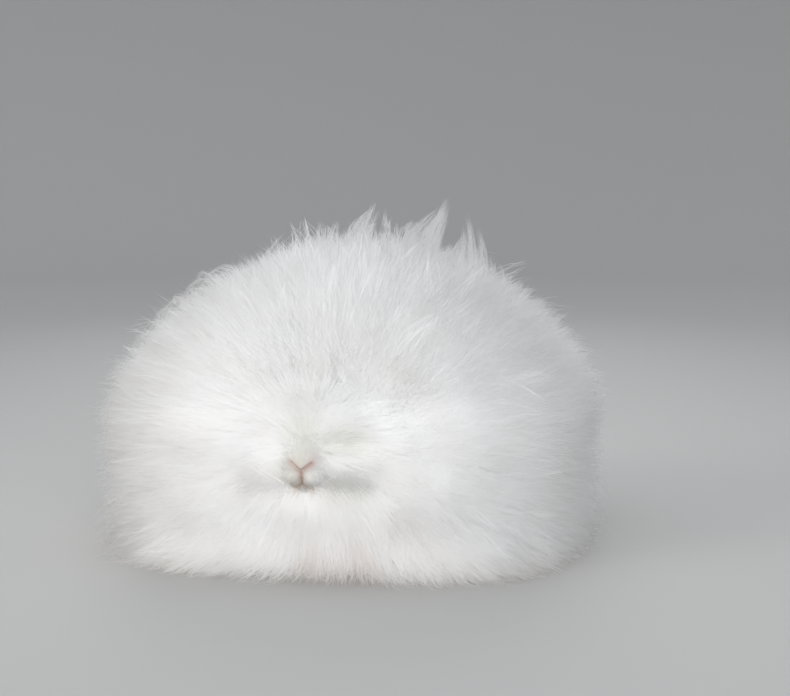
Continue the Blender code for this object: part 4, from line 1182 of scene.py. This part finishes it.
dome_locks("coat_long", 320, 12, -16, (0.00015, 0.00026), (1.0, 1.115), (4, 13))
face_coat("coat_under_face", 600, (0.0014, 0.0024), (0.78, 0.9), 120, (0.0, 0.3),
          (0, 0.35, 0.65, 0.85, 1), (0.5, 1, 0.9, 0.5, 0), 0.4, 0.006)
face_coat("coat_face", 2200, (0.0005, 0.00085), (0.89, 0.97), 260, (0.1, 0.4), FACE_RINGS, FINE, 0.6, 0.008)
face_coat("coat_fine_face", 8000, (0.00018, 0.00034), (0.92, 1.02), 420, (0.1, 0.5), FACE_RINGS, FINE, 0.9, 0.01)
face_coat("coat_down_face", 11000, (0.001, 0.0017), (0.92, 1.03), 420, (0.0, 0.1), (0, 1), (1.0, 0), 1.0, 0.004)
short_fur()
for deep, tip_deep, rows in WISPS:
    for base, tip, hairs, *spreads in rows:
        add_wisp(metres((base[0], deep, base[1])), metres((tip[0], tip_deep, tip[1])), hairs, *metres(spreads))
for piece in dress(wool):
    piece.visible_shadow = piece.name.startswith(SHADOWED)


# Floor, light and camera.
FLOOR_COLOUR = (0.5, 0.49, 0.475, 1)
FLOOR_RINGS = (1, 2, 3, 4)
FLOOR_BEND = 2.0
WALL_TOP = 3.2
FLOOR_SIDES = 96
WORLD_COLOUR = (0.9, 0.95, 1.0, 1)
WORLD_STRENGTH = 0.8
# Place, height aimed at, size, power and colour.
LIGHTS = {
    "key": ((-2.4, -1.9, 1.2), 0.5, 2.0, 6.55, (1.0, 0.98, 0.96)),
    "rear": ((-0.6, 2.9, 1.6), 0.45, 2.2, 5.2, (1, 1, 1)),
    "fill": ((1.7, -2.4, 1.0), 0.45, 2.0, 6.4, (0.97, 0.98, 1.0)),
}
LIGHT_SPREAD = math.radians(64)
CAMERA_AZIMUTH = 11.5
CAMERA_ELEVATION = 6.65
CAMERA_DISTANCE = 1.9
LENS = 76.6
AIM = Vector((0.0429, 0.02, 0.2101))

profile = [(radius, 0) for radius in FLOOR_RINGS]
profile += [(FLOOR_RINGS[-1] + FLOOR_BEND * math.sin(a), FLOOR_BEND - FLOOR_BEND * math.cos(a))
            for a in np.linspace(0.1, math.pi / 2, 14)]
profile.append((FLOOR_RINGS[-1] + FLOOR_BEND, WALL_TOP))
bm = bmesh.new()
turned = [[bm.verts.new((r * math.cos(2 * math.pi * k / FLOOR_SIDES), r * math.sin(2 * math.pi * k / FLOOR_SIDES), z))
           for k in range(FLOOR_SIDES)] for r, z in profile]
bm.faces.new(turned[0])
for low, high in zip(turned, turned[1:]):
    for k in range(FLOOR_SIDES):
        m = (k + 1) % FLOOR_SIDES
        bm.faces.new((low[k], low[m], high[m], high[k])).smooth = True
mesh = mesh_from(bm, "floor")
mesh.materials.append(material_of("floor_paint", Base_Color=FLOOR_COLOUR, Roughness=0.8))
floor = add_object(mesh)

world = bpy.data.worlds.new("studio")
scene.world = world
world.use_nodes = True
set_inputs(world.node_tree.nodes["Background"], Color=WORLD_COLOUR, Strength=WORLD_STRENGTH)

# Round soft boxes with grids, for an evenly lit floor.
for name, (place, height, size, power, colour) in LIGHTS.items():
    data = bpy.data.lights.new(name, "AREA")
    data.shape = "DISK"
    data.size = size
    data.energy = power
    data.color = colour
    data.spread = LIGHT_SPREAD
    light = add_object(data)
    light.location = place
    light.rotation_euler = (Vector((0, 0, height)) - Vector(place)).to_track_quat("-Z", "Y").to_euler()

way = Vector(direction(CAMERA_AZIMUTH, CAMERA_ELEVATION))
data = bpy.data.cameras.new("camera")
data.lens = LENS
data.sensor_width = 36
camera = add_object(data)
camera.location = AIM + way * CAMERA_DISTANCE
across = Vector((0, 0, 1)).cross(way).normalized()
camera.rotation_euler = Matrix((across, way.cross(across), way)).transposed().to_euler()
scene.camera = camera
scene.view_settings.view_transform = "Standard"
scene.cycles.diffuse_bounces = 4
